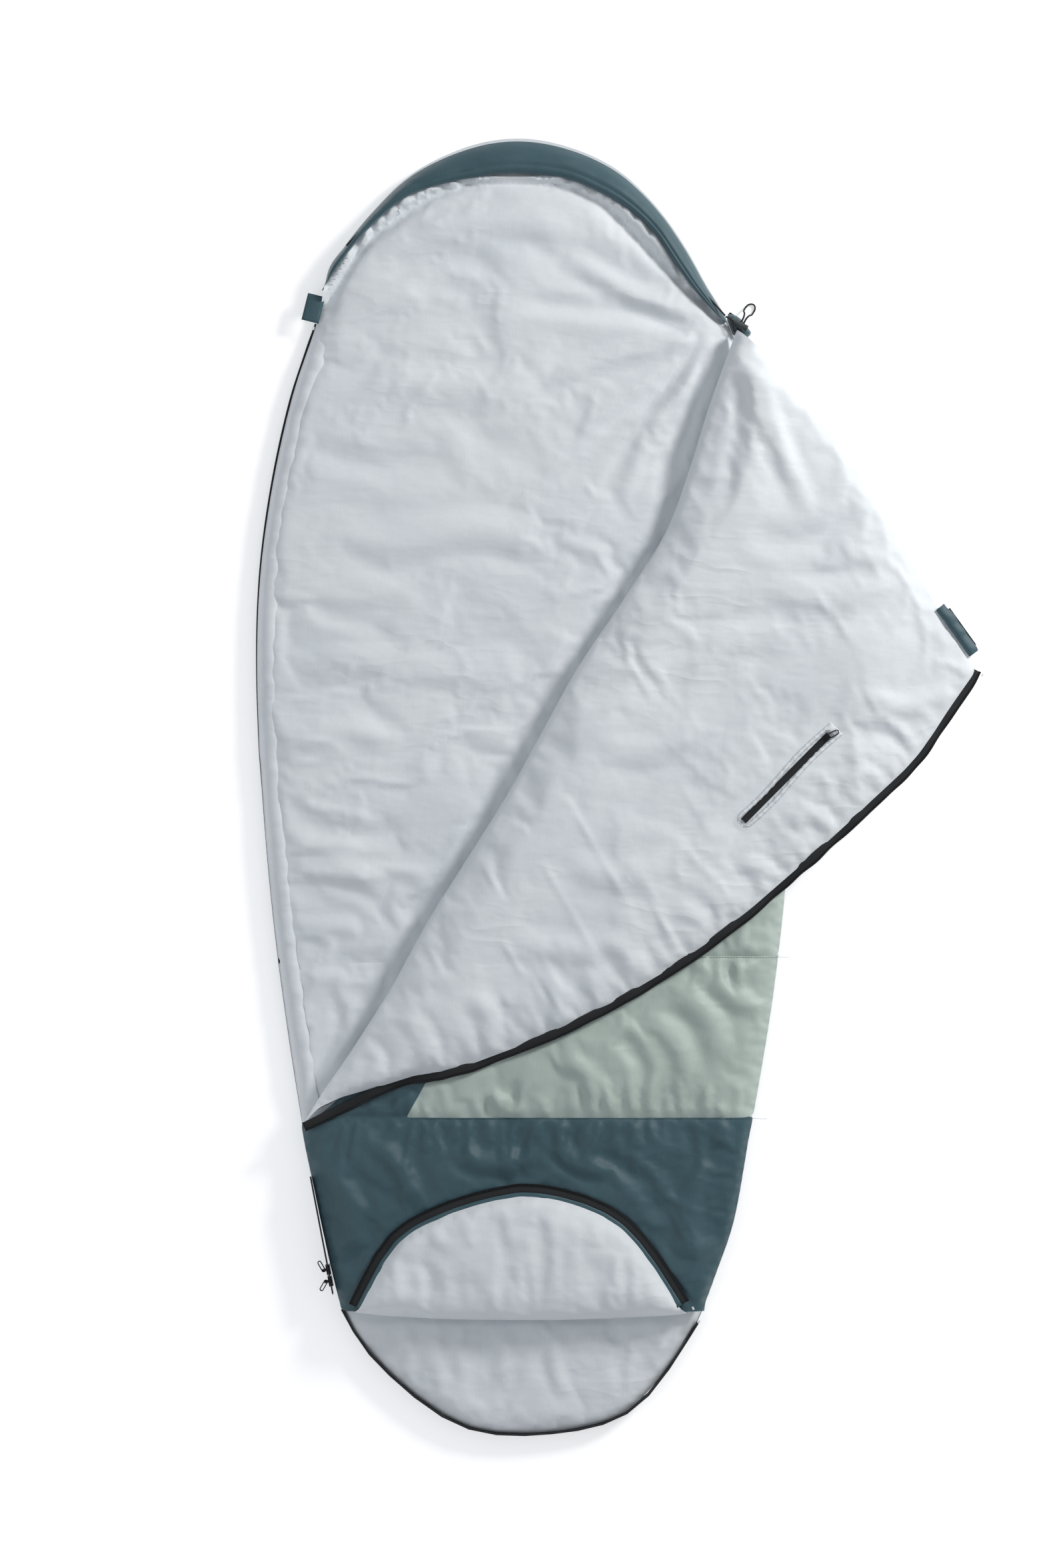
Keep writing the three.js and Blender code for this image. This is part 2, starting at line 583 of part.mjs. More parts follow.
// Both flap edges run clockwise, so the path is turned round first.
const flapZipPath = [...flapZipEdge].reverse().slice(1);
flatZip('flap', flapZipPath, COVER_TAPE_WIDTH, FLAP_MIDDLE);
zipStop('flap_zip_stop', ...lastTwo(flapZipPath), COVER_TAPE_WIDTH + GAP + COIL / 2,
  FLAP_MIDDLE - 1, FLAP_MIDDLE + 2);

// The collar tab at the flap's corner, hinged on the collar edge.
const TAB_FROM = [686, 291];
const TAB_TO = [740, 218];
const tabAlong = unit([TAB_TO[0] - TAB_FROM[0], TAB_TO[1] - TAB_FROM[1]]);
const tabOut = [-tabAlong[1], tabAlong[0]];
const TAB_Z = FLAP_TOP + GAP;
function collarTab(near, far, trim) {
  const corner = ([x, y], along, out) => [
    x + tabAlong[0] * along + tabOut[0] * out, y + tabAlong[1] * along + tabOut[1] * out,
  ];
  return [corner(TAB_FROM, trim, near), corner(TAB_TO, -trim, near), corner(TAB_TO, -trim, far),
    corner(TAB_FROM, trim, far)];
}
add('corner_tab', droop(slab(collarTab(2, 20, 0), TAB_Z, TAB_Z + CLOTH)), TEAL);
add('corner_tab_hook_tape', droop(slab(collarTab(6, 17, 8), TAB_Z - GAP - 1.5, TAB_Z - GAP)), HOOK);

// ---------------------------------------------------------------- the inner pocket

const FACING_Z = FLAP_TOP + GAP;
function pocketStrip(across, width, length, low, high) {
  const centre = [pocketMiddle[0] + pocketAcross[0] * across,
    pocketMiddle[1] + pocketAcross[1] * across];
  return block(centre, pocketAlong, length, width, low, high);
}
const facing = pocketStrip(0, FACING_WIDTH, POCKET_SLIT + 2 * FACING_END, FACING_Z, FACING_Z + 0.8);
const slit = pocketStrip(0, SLIT_WIDTH, POCKET_SLIT, FACING_Z - 1, FACING_Z + 2);
add('pocket_facing', cut(facing, slit), LINING);

const tapeWidth = SLIT_WIDTH - 2 * GAP;
const tapeLength = POCKET_SLIT - 2 * GAP;
add('pocket_zip_tape', pocketStrip(0, tapeWidth, tapeLength, FACING_Z, FACING_Z + 0.5), BLACK_TAPE);
const POCKET_COIL_WIDTH = 5;
const POCKET_COIL_Z = FACING_Z + 0.5 + GAP;
const POCKET_COIL_TOP = POCKET_COIL_Z + 1.6;
add('pocket_zip_coil', pocketStrip(0, POCKET_COIL_WIDTH, tapeLength, POCKET_COIL_Z,
  POCKET_COIL_TOP), COIL_PLASTIC);

// The pocket slider: a channel over the coil, with a bridge that the pull hangs from.
const POCKET_SLIDER_LENGTH = 12;
const PLATE_LOW = POCKET_COIL_TOP + GAP;
const PLATE_HIGH = PLATE_LOW + 1;
const PULL_PLAY = 0.7;
const POCKET_PULL_Z = PLATE_HIGH + PULL_PLAY;
const POCKET_PULL_THICK = 1;
const BRIDGE_LOW = POCKET_PULL_Z + POCKET_PULL_THICK + PULL_PLAY;
const sliderShift = POCKET_SLIT / 2 - POCKET_SLIDER_LENGTH / 2 - 1;

function onSlider(along, across, length, width, low, high) {
  const shift = sliderShift + along;
  const centre = [
    pocketMiddle[0] + pocketAlong[0] * shift + pocketAcross[0] * across,
    pocketMiddle[1] + pocketAlong[1] * shift + pocketAcross[1] * across,
  ];
  return block(centre, pocketAlong, length, width, low, high);
}
const flange = POCKET_COIL_WIDTH / 2 + GAP + 0.6;
const POST = 3.8;
add('pocket_slider', join(
  onSlider(0, 0, POCKET_SLIDER_LENGTH, 2 * flange + 1.2, PLATE_LOW, PLATE_HIGH),
  onSlider(0, flange, POCKET_SLIDER_LENGTH, 1.2, POCKET_COIL_Z, PLATE_LOW + 0.2),
  onSlider(0, -flange, POCKET_SLIDER_LENGTH, 1.2, POCKET_COIL_Z, PLATE_LOW + 0.2),
  onSlider(-POST, 0, 1, 2, PLATE_HIGH - 0.2, BRIDGE_LOW + 0.2),
  onSlider(POST, 0, 1, 2, PLATE_HIGH - 0.2, BRIDGE_LOW + 0.2),
  onSlider(0, 0, 2 * POST + 1, 2, BRIDGE_LOW, BRIDGE_LOW + 1),
), SLIDER_METAL);

// The pull's end bar lies under the bridge, and the pull points away from the pocket.
const POCKET_PULL_WIDTH = 9;
const POCKET_PULL_TURN = -0.3;
const pullAngle = Math.atan2(pocketAlong[1], pocketAlong[0]) + POCKET_PULL_TURN;
const pullReach = POCKET_PULL_WIDTH / 2 - 0.85;
const pullBase = [
  pocketMiddle[0] + pocketAlong[0] * sliderShift + Math.cos(pullAngle) * pullReach,
  pocketMiddle[1] + pocketAlong[1] * sliderShift + Math.sin(pullAngle) * pullReach,
];
add('pocket_pull', ringPull(pullBase, pullAngle, POCKET_PULL_Z, POCKET_PULL_Z + POCKET_PULL_THICK,
  24, POCKET_PULL_WIDTH), SLIDER_METAL);

// ---------------------------------------------------------------- the foot flap

add('foot_flap_shell', slab(footFlapArc, FLAP_SHELL_Z, FLAP_SHELL_Z + CLOTH), TEAL);
add('foot_flap_insulation', slab(footFlapArc, FLAP_BATTING_Z, FLAP_BATTING_Z + COVER_QUILT),
  BATTING);
add('foot_flap_lining', slab(footFlapArc, FLAP_LINING_Z, FLAP_TOP), LINING);
flatZip('foot_flap', footFlapArc, FOOT_TAPE_WIDTH, FLAP_MIDDLE);
zipStop('foot_flap_zip_stop', footFlapArc[0], footFlapArc[1],
  -FOOT_TAPE_WIDTH - GAP - COIL / 2, FLAP_MIDDLE - 1, FLAP_MIDDLE + 2);

export default bag;
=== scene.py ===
"""The looks of a hooded sleeping bag that lies open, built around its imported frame."""
import json
import math
import random

import bpy
import bmesh
import numpy as np
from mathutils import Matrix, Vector, noise
from mathutils.geometry import delaunay_2d_cdt


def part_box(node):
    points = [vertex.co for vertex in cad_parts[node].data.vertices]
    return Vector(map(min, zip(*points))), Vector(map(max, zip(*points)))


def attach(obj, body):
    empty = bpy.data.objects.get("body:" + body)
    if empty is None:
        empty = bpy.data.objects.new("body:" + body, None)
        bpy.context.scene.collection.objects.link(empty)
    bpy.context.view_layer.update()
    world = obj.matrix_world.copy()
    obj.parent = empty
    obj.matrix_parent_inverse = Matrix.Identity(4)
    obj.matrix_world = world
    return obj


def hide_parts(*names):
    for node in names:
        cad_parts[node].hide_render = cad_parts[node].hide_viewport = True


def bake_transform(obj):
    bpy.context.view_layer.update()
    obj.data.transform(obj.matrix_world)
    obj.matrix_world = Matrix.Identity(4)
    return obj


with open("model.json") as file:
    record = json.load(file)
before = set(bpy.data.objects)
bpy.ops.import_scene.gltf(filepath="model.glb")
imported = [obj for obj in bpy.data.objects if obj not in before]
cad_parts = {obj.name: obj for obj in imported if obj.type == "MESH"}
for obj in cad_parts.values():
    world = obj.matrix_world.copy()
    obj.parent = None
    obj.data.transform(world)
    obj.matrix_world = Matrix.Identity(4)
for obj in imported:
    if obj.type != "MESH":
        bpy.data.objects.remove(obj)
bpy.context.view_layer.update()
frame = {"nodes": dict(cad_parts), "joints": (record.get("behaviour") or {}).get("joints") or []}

# ---- places from the frame

MM = 0.001
CHUNK = 3000
UP = np.array([0, 0, 1.0])


def low(node):
    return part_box(node)[0]


def high(node):
    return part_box(node)[1]


CENTRE_X = (low("base_shell").x + high("base_shell").x) / 2
NECK = low("hood_shell").y
FOOT_CREASE = low("foot_flap_shell").y
LINING_SEAM = low("base_lining_upper").y
QUILT_SEAM = low("cover_shell_upper").y
COLOUR_SEAM = low("cover_shell_lower").y
FLAP_TOP = high("flap_lining").z

FOLD = next(j for j in frame["joints"] if j["name"] == "cover_fold")
FOLD_POINT = np.array(FOLD["pos_m"])
FOLD_ALONG = np.array(FOLD["axis"])
FOLD_RIGHT = np.array([-FOLD_ALONG[1], FOLD_ALONG[0], 0])
DROOP_X = 0.372
DROOP_SLOPE = 0.2


def bag(x, y):
    """A point of the bag's own plan, in millimetres from its centre line, in the frame."""
    return np.array([CENTRE_X + x * MM, NECK + (y - 786) * MM])


def bags(points):
    return np.array([bag(x, y) for x, y in points])


def sag(x):
    """How far the folded cover has sunk at x."""
    past = np.maximum(0, x - DROOP_X)
    soft = 0.06
    return DROOP_SLOPE * past * past / (past + soft)


# ---- plan geometry


def outline_of(node):
    """The outline in plan of the faces that look down on a slab's underside, in order."""
    mesh = frame["nodes"][node].data
    edges = set()
    for p in mesh.polygons:
        if p.normal.z > -0.5:
            continue
        ids = [(round(mesh.vertices[i].co.x, 5), round(mesh.vertices[i].co.y, 5))
               for i in p.vertices]
        for a, b in zip(ids, ids[1:] + ids[:1]):
            edges ^= {frozenset((a, b))}
    near = {}
    for edge in edges:
        if len(edge) == 2:  # an edge shorter than the rounding has only one end
            a, b = edge
            near.setdefault(a, []).append(b)
            near.setdefault(b, []).append(a)
    best = None
    while near:
        start = min(near)
        loop = [start]
        while near.get(loop[-1]):
            here = loop[-1]
            there = near[here].pop()
            near[there].remove(here)
            loop.append(there)
        near = {k: v for k, v in near.items() if v}
        loop = np.array(loop[:-1])
        if best is None or abs(area(loop)) > abs(area(best)):
            best = loop
    return best if area(best) > 0 else best[::-1]


def area(loop):
    x, y = loop[:, 0], loop[:, 1]
    return 0.5 * np.sum(x * np.roll(y, -1) - np.roll(x, -1) * y)


def spline(points, step, closed=False):
    """A smooth line through the points, with a new point every step."""
    p = np.asarray(points, float)
    if closed:
        p = np.vstack([p[-1], p, p[0], p[1]])
    else:
        p = np.vstack([2 * p[0] - p[1], p, 2 * p[-1] - p[-2]])
    fine = []
    t = np.linspace(0, 1, 12, endpoint=False)[:, None]
    for a, b, c, d in zip(p, p[1:], p[2:], p[3:]):
        fine.append(0.5 * (2 * b + (c - a) * t + (2 * a - 5 * b + 4 * c - d) * t**2
                           + (3 * b - a - 3 * c + d) * t**3))
    fine = np.vstack([*fine, p[-2][None]])
    return even(fine, step)


def even(line, step):
    """The same line with a point about every step."""
    gaps = np.linalg.norm(np.diff(line, axis=0), axis=1)
    along = np.concatenate([[0], np.cumsum(gaps)])
    count = max(2, int(round(along[-1] / step)) + 1)
    want = np.linspace(0, along[-1], count)
    return np.stack([np.interp(want, along, line[:, k]) for k in range(line.shape[1])], 1)


def closed_even(loop, step):
    return even(np.vstack([loop, loop[:1]]), step)[:-1]


def to_line(points, line):
    """For each point: its distance to the line, and how far along the line that is, 0 to 1."""
    p = np.asarray(points, float)[:, None, :2]
    a, b = line[None, :-1, :2], line[None, 1:, :2]
    ab = b - a
    size = np.maximum((ab**2).sum(-1), 1e-12)
    t = np.clip(((p - a) * ab).sum(-1) / size, 0, 1)
    gap = np.linalg.norm(p - a - ab * t[..., None], axis=-1)
    best = gap.argmin(1)
    rows = np.arange(len(best))
    share = (best + t[rows, best]) / (len(line) - 1)
    return gap[rows, best], share


def in_chunks(measure, points):
    """The measure of every point, worked out for a few thousand of them at a time."""
    out = np.empty(len(points))
    for i in range(0, len(points), CHUNK):
        out[i:i + CHUNK] = measure(points[i:i + CHUNK])
    return out


def line_distance(points, line):
    return in_chunks(lambda part: to_line(part, line)[0], points)


def edge_distance(points, loop):
    return line_distance(points, np.vstack([loop, loop[:1]]))


def to_nearest(points, others):
    """How far each point is from the nearest of the others."""
    def gap(part):
        return np.linalg.norm(part[:, None] - others[None], axis=2).min(1)
    return in_chunks(gap, points)


def inside(points, loop):
    x, y = points[:, 0][:, None], points[:, 1][:, None]
    a, b = loop[None], np.roll(loop, -1, 0)[None]
    crosses = (a[..., 1] > y) != (b[..., 1] > y)
    rise = np.where(b[..., 1] == a[..., 1], 1e-12, b[..., 1] - a[..., 1])
    at = a[..., 0] + (y - a[..., 1]) / rise * (b[..., 0] - a[..., 0])
    return ((crosses & (x < at)).sum(1) % 2) == 1


def fill(loop, step, lines=()):
    """Points on a staggered grid inside the loop, joined into triangles that keep the lines."""
    loop = closed_even(loop, step)
    lo, hi = loop.min(0), loop.max(0)
    rows = np.arange(lo[1], hi[1], step * 0.87)
    grid = []
    for i, y in enumerate(rows):
        xs = np.arange(lo[0] + (i % 2) * step / 2, hi[0], step)
        grid.append(np.stack([xs, np.full(len(xs), y)], 1))
    grid = np.vstack(grid)
    grid = grid[inside(grid, loop)]
    grid = grid[edge_distance(grid, loop) > step * 0.55]
    kept = []
    edges = []
    count = len(loop)
    for line in lines:
        line = even(line, step)
        grid = grid[to_line(grid, line)[0] > step * 0.5]
        kept.append(line)
        edges += [(count + i, count + i + 1) for i in range(len(line) - 1)]
        count += len(line)
    points = np.vstack([loop, *kept, grid])
    ring = [(i, (i + 1) % len(loop)) for i in range(len(loop))]
    made = delaunay_2d_cdt([Vector(p) for p in points], ring + edges, [list(range(len(loop)))],
                           1, 1e-6)
    plan = np.array([tuple(v) for v in made[0]])
    faces = [list(f) for f in made[2]]
    return plan, [f if area(plan[f]) > 0 else f[::-1] for f in faces]


# ---- heights


def round_edge(distance, width):
    """0 at the edge and 1 past the width, upright at the edge as a stuffed edge is."""
    t = np.clip(distance / width, 0, 1)
    return np.sqrt(np.maximum(0, 1 - (1 - t) ** 2))


def smooth(t):
    t = np.clip(t, 0, 1)
    return t * t * (3 - 2 * t)


def ripple(plan, size, seed, turn=0.0, stretch=1.0, octaves=3):
    """Soft noise, about -1 to 1, drawn out along one direction."""
    c, s = math.cos(turn), math.sin(turn)
    u = (plan[:, 0] * c + plan[:, 1] * s) / (size * stretch)
    v = (-plan[:, 0] * s + plan[:, 1] * c) / size
    return np.array([noise.fractal(Vector((a, b, seed)), 1.0, 2.0, octaves)
                     for a, b in zip(u, v)])


def quiver(line, scale, seed):
    """One value of smooth noise for each point of a line, by its place in plan."""
    return np.array([noise.noise(Vector((p[0] * scale, p[1] * scale, seed))) for p in line])


def creases(plan, size, seed, turn=0.0, stretch=2.0):
    """Sparse ridges, as where a slack cloth has folded over a little, from 0 to 1."""
    thin = 1 - np.minimum(1, np.abs(ripple(plan, size, seed, turn, stretch, 2)) / 0.16)
    where = smooth((ripple(plan, size * 3.5, seed + 5, turn, 1.2, 2) + 0.1) / 0.3)
    return thin**1.5 * where


def strokes(plan, lines, sharp=False):
    """Ridges and valleys along lines: each is (points in the bag's plan, height, width)."""
    z = np.zeros(len(plan))
    for points, height, width in lines:
        line = spline(bags(points), 0.02)
        lo, hi = line.min(0) - 3 * width * MM, line.max(0) + 3 * width * MM
        near = np.where(((plan > lo) & (plan < hi)).all(1))[0]
        if not len(near):
            continue
        gap, share = to_line(plan[near], line)
        taper = np.clip(4 * share, 0, 1) * np.clip(4 * (1 - share), 0, 1)
        t = gap / (width * MM)
        bump = np.exp(-t * t) - (0.35 * np.exp(-(t - 1.6) ** 2 * 2) if sharp else 0)
        z[near] += height * MM * smooth(taper) * bump
    return z


def fan(start, ends, height, width):
    """Folds that spread from one point: alternate ridges and valleys."""
    made = []
    for i, end in enumerate(ends):
        middle = [(start[0] + end[0]) / 2 + (8 if i % 2 else -8),
                  (start[1] + end[1]) / 2 + (6 if i % 3 else -6)]
        made.append(([start, middle, end], height if i % 2 == 0 else -height, width))
    return made


# ---- meshes


def mesh_object(name, points, faces, materials=(), smooth_faces=True):
    mesh = bpy.data.meshes.new(name)
    mesh.from_pydata([tuple(p) for p in points], [], [list(map(int, f)) for f in faces])
    mesh.update()
    obj = bpy.data.objects.new(name, mesh)
    bpy.context.scene.collection.objects.link(obj)
    for m in materials:
        mesh.materials.append(m)
    if smooth_faces:
        mesh.shade_smooth()
    return obj


def apply_all(obj):
    """The object's modifiers become its mesh."""
    dg = bpy.context.evaluated_depsgraph_get()
    made = bpy.data.meshes.new_from_object(obj.evaluated_get(dg), depsgraph=dg)
    old = obj.data
    obj.modifiers.clear()
    obj.data = made
    bpy.data.meshes.remove(old)
    return obj


def subdivide(obj, levels=1):
    m = obj.modifiers.new("fine", "SUBSURF")
    m.levels = m.render_levels = levels
    m.boundary_smooth = "PRESERVE_CORNERS"
    return apply_all(obj)


def thicken(obj, thickness, side=-1):
    m = obj.modifiers.new("cloth", "SOLIDIFY")
    m.thickness = thickness
    m.offset = side
    return apply_all(obj)


def get_co(obj):
    co = np.zeros(len(obj.data.vertices) * 3)
    obj.data.vertices.foreach_get("co", co)
    return co.reshape(-1, 3)


def buckle(points, faces, held, loosen, frames=14, stiff=0.6, up=0.008, down=0.004):
    """Lets a sheet cut a little too big settle into folds. held is 0 to 1 for each point."""
    obj = mesh_object("slack", points, faces)
    group = obj.vertex_groups.new(name="held")
    for i in np.nonzero(held > 0.02)[0]:
        group.add([int(i)], float(held[i]), "REPLACE")
    m = obj.modifiers.new("cloth", "CLOTH")
    rules = m.settings
    rules.quality = 3
    rules.mass = 0.12
    rules.vertex_group_mass = "held"
    rules.shrink_min = -loosen
    rules.tension_stiffness = rules.compression_stiffness = 12
    rules.shear_stiffness = 6
    rules.bending_stiffness = stiff
    rules.air_damping = 3
    rules.effector_weights.gravity = 0
    rules.use_pressure = True
    rules.uniform_pressure_force = 0.4
    m.point_cache.frame_start = 1
    m.point_cache.frame_end = frames
    for f in range(1, frames + 1):
        bpy.context.scene.frame_set(f)
    dg = bpy.context.evaluated_depsgraph_get()
    moved = np.array([tuple(v.co) for v in obj.evaluated_get(dg).data.vertices])
    bpy.context.scene.frame_set(1)
    bpy.data.objects.remove(obj)
    shift = moved - points
    shift[:, 2] = np.clip(shift[:, 2], -down, up)
    shift[:, :2] = np.clip(shift[:, :2], -0.004, 0.004)
    return points + shift


def finish_piece(obj, body, slot, *nodes):
    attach(obj, body)
    if nodes:
        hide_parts(*nodes)
    return obj


# ---- materials


def nodes_of(name):
    m = bpy.data.materials.new(name)
    m.use_nodes = True
    tree = m.node_tree
    return m, tree, tree.nodes["Principled BSDF"]


def link(tree, a, b):
    tree.links.new(a, b)


def mapped(tree, scale, turn=0.0, stretch=(1, 1, 1)):
    coords = tree.nodes.new("ShaderNodeTexCoord")
    mapping = tree.nodes.new("ShaderNodeMapping")
    mapping.inputs["Scale"].default_value = [scale * s for s in stretch]
    mapping.inputs["Rotation"].default_value = (0, 0, turn)
    link(tree, coords.outputs["Object"], mapping.inputs["Vector"])
    return mapping.outputs["Vector"]


def wave(tree, vector, axis, distortion=0.3):
    node = tree.nodes.new("ShaderNodeTexWave")
    node.bands_direction = axis
    node.inputs["Scale"].default_value = 1
    node.inputs["Distortion"].default_value = distortion
    node.inputs["Detail"].default_value = 1
    link(tree, vector, node.inputs["Vector"])
    return node.outputs["Fac"]


def noise_node(tree, vector, scale, detail=4, rough=0.55):
    node = tree.nodes.new("ShaderNodeTexNoise")
    node.inputs["Scale"].default_value = scale
    node.inputs["Detail"].default_value = detail
    node.inputs["Roughness"].default_value = rough
    link(tree, vector, node.inputs["Vector"])
    return node.outputs["Fac"]


def maths(tree, operation, a, b):
    node = tree.nodes.new("ShaderNodeMath")
    node.operation = operation
    for socket, value in zip(node.inputs, (a, b)):
        if isinstance(value, (int, float)):
            socket.default_value = value
        else:
            link(tree, value, socket)
    return node.outputs[0]


def ramp(tree, value, stops):
    node = tree.nodes.new("ShaderNodeValToRGB")
    elements = node.color_ramp.elements
    while len(elements) < len(stops):
        elements.new(0.5)
    for element, (place, colour) in zip(elements, stops):
        element.position = place
        element.color = (*colour, 1)
    link(tree, value, node.inputs["Fac"])
    return node.outputs["Color"]


def bump(tree, shader, height, strength, distance, previous=None):
    node = tree.nodes.new("ShaderNodeBump")
    node.inputs["Strength"].default_value = strength
    node.inputs["Distance"].default_value = distance
    link(tree, height, node.inputs["Height"])
    if previous is not None:
        link(tree, previous, node.inputs["Normal"])
    link(tree, node.outputs["Normal"], shader.inputs["Normal"])
    return node.outputs["Normal"]


def woven(name, dark, light, rough, threads=1500, sheen=0.0, crease=0.0025, wrinkle=26,
          specular=0.4):
    """A plain weave: two crossing waves for the threads, soft wrinkles and an uneven tone."""
    m, tree, shader = nodes_of(name)
    plain = mapped(tree, 1)
    tone = noise_node(tree, plain, 5, 5)
    threads_in = mapped(tree, threads)
    across = wave(tree, threads_in, "X")
    along = wave(tree, threads_in, "Y")
    weave = maths(tree, "MULTIPLY", across, along)
    slub = noise_node(tree, mapped(tree, 1, stretch=(400, 30, 400)), 1, 2)
    mixed = maths(tree, "ADD", maths(tree, "MULTIPLY", tone, 0.75),
                  maths(tree, "MULTIPLY", slub, 0.25))
    link(tree, ramp(tree, mixed, [(0.3, dark), (0.7, light)]), shader.inputs["Base Color"])
    soft = noise_node(tree, mapped(tree, wrinkle * 0.4, stretch=(1, 1.8, 1)), 1, 3, 0.45)
    line = noise_node(tree, mapped(tree, wrinkle * 0.5, turn=0.3, stretch=(0.6, 1.7, 1)), 1, 2)
    line = maths(tree, "ABSOLUTE", maths(tree, "SUBTRACT", line, 0.5), 0)
    line = maths(tree, "MULTIPLY", maths(tree, "MINIMUM", line, 0.12), 8.3)
    mask = noise_node(tree, mapped(tree, 3.5), 1, 2)
    mask = maths(tree, "MINIMUM", maths(tree, "MAXIMUM", maths(tree, "SUBTRACT", mask, 0.45), 0),
                 0.15)
    both = maths(tree, "SUBTRACT", soft, maths(tree, "MULTIPLY", mask, line))
    first = bump(tree, shader, both, 0.7, crease)
    bump(tree, shader, weave, 0.25, 0.0002, first)
    shader.inputs["Roughness"].default_value = rough
    shader.inputs["Specular IOR Level"].default_value = specular
    shader.inputs["Sheen Weight"].default_value = sheen
    shader.inputs["Sheen Roughness"].default_value = 0.4
    return m


def moulded(name, colour, rough, metallic=0.0, grain=900, depth=0.00008):
    m, tree, shader = nodes_of(name)
    grit = noise_node(tree, mapped(tree, grain), 1, 3)
    dark = [c * 0.8 for c in colour]
    link(tree, ramp(tree, grit, [(0.35, dark), (0.65, colour)]), shader.inputs["Base Color"])
    bump(tree, shader, grit, 0.5, depth)
    shader.inputs["Roughness"].default_value = rough
    shader.inputs["Metallic"].default_value = metallic
    return m


def tape_weave(name, colour):
    """Herringbone tape: slanted ribs crossed by fine threads."""
    m, tree, shader = nodes_of(name)
    ribs = wave(tree, mapped(tree, 900, turn=0.7), "X", 0.2)
    cross = wave(tree, mapped(tree, 1400, turn=-0.6), "X", 0.2)
    mixed = maths(tree, "MULTIPLY", ribs, cross)
    link(tree, ramp(tree, mixed, [(0.2, [c * 0.5 for c in colour]), (0.8, colour)]),
         shader.inputs["Base Color"])
    bump(tree, shader, mixed, 0.5, 0.0002)
    shader.inputs["Roughness"].default_value = 0.8
    return m


def batting_stuff(name, dark, light):
    """Loose fibres, matt and uneven."""
    m, tree, shader = nodes_of(name)
    fibres = noise_node(tree, mapped(tree, 120), 1, 8, 0.7)
    link(tree, ramp(tree, fibres, [(0.3, dark), (0.7, light)]),
         shader.inputs["Base Color"])
    bump(tree, shader, fibres, 0.8, 0.002)
    shader.inputs["Roughness"].default_value = 0.95
    return m


LINING = woven("grey lining", (0.68, 0.72, 0.75), (0.77, 0.80, 0.825), 0.7, sheen=0.12,
               crease=0.009, wrinkle=22, specular=0.3)
TEAL = woven("teal shell", (0.036, 0.080, 0.098), (0.050, 0.105, 0.127), 0.45, sheen=0.2,
             crease=0.008, wrinkle=22)
SAGE = woven("sage shell", (0.385, 0.46, 0.42), (0.47, 0.55, 0.50), 0.42, sheen=0.15,
             crease=0.008, wrinkle=18, specular=0.5)
TAPE = tape_weave("zip tape", (0.016, 0.019, 0.022))
COIL = moulded("zip coil", (0.012, 0.012, 0.014), 0.35)
METAL = moulded("slider enamel", (0.02, 0.02, 0.022), 0.3, 0.6)
STOP = moulded("white stop", (0.85, 0.85, 0.83), 0.35)
CORD = tape_weave("black cord", (0.02, 0.022, 0.025))
LOCK = moulded("lock plastic", (0.03, 0.038, 0.042), 0.45)
STEEL = moulded("spring steel", (0.6, 0.6, 0.62), 0.25, 1.0)
HOOK = batting_stuff("hook tape", (0.008, 0.01, 0.012), (0.03, 0.035, 0.04))
BATTING = batting_stuff("batting", (0.75, 0.75, 0.73), (0.92, 0.92, 0.9))
THREAD = moulded("thread", (0.42, 0.46, 0.50), 0.6)
DARK_THREAD = moulded("dark thread", (0.03, 0.06, 0.075), 0.6)

# ---- camera, floor and light

AMBIENT = 0.42
VIEW_CENTRE = (-0.159, 0.005)
VIEW_TALL = 2.587
LENS = 85
SENSOR = 36


def camera():
    data = bpy.data.cameras.new("camera")
    data.lens = LENS
    data.sensor_width = SENSOR
    data.clip_end = 50
    cam = bpy.data.objects.new("camera", data)
    bpy.context.scene.collection.objects.link(cam)
    cam.location = (*VIEW_CENTRE, VIEW_TALL * LENS / SENSOR + 0.05)
    bpy.context.scene.camera = cam


def area_light(name, place, target, size, power, colour=(1, 1, 1)):
    data = bpy.data.lights.new(name, "AREA")
    data.shape = "DISK"
    data.size = size
    data.energy = power
    data.color = colour
    lamp = bpy.data.objects.new(name, data)
    bpy.context.scene.collection.objects.link(lamp)
    lamp.location = place
    aim = Vector(target) - Vector(place)
    lamp.rotation_euler = aim.to_track_quat("-Z", "Y").to_euler()


def studio():
    mesh = bpy.data.meshes.new("floor")
    reach = 30
    mesh.from_pydata([(-reach, -reach, 0), (reach, -reach, 0), (reach, reach, 0),
                      (-reach, reach, 0)], [], [(0, 1, 2, 3)])
    floor = bpy.data.objects.new("floor", mesh)
    bpy.context.scene.collection.objects.link(floor)
    m, _, shader = nodes_of("floor white")
    shader.inputs["Base Color"].default_value = (0.95, 0.95, 0.96, 1)
    shader.inputs["Roughness"].default_value = 0.9
    shader.inputs["Specular IOR Level"].default_value = 0.1
    shader.inputs["Emission Color"].default_value = (1, 1, 1, 1)
    shader.inputs["Emission Strength"].default_value = AMBIENT
    mesh.materials.append(m)
    floor.location.z = -0.001
    world = bpy.data.worlds.new("world")
    world.use_nodes = True
    sky = world.node_tree.nodes["Background"]
    sky.inputs["Color"].default_value = (0.93, 0.96, 1.0, 1)
    sky.inputs["Strength"].default_value = AMBIENT
    bpy.context.scene.world = world
    area_light("key", (3.1, 2.5, 2.2), (-0.1, 0.1, 0), 1.2, 142, (1, 0.99, 0.97))
    area_light("fill", (-3.2, -1.5, 3.6), (0, 0, 0), 3.0, 30, (0.9, 0.95, 1))
    bpy.context.scene.view_settings.view_transform = "Standard"


camera()
studio()

# ---- outlines from the frame

STEP = 0.010


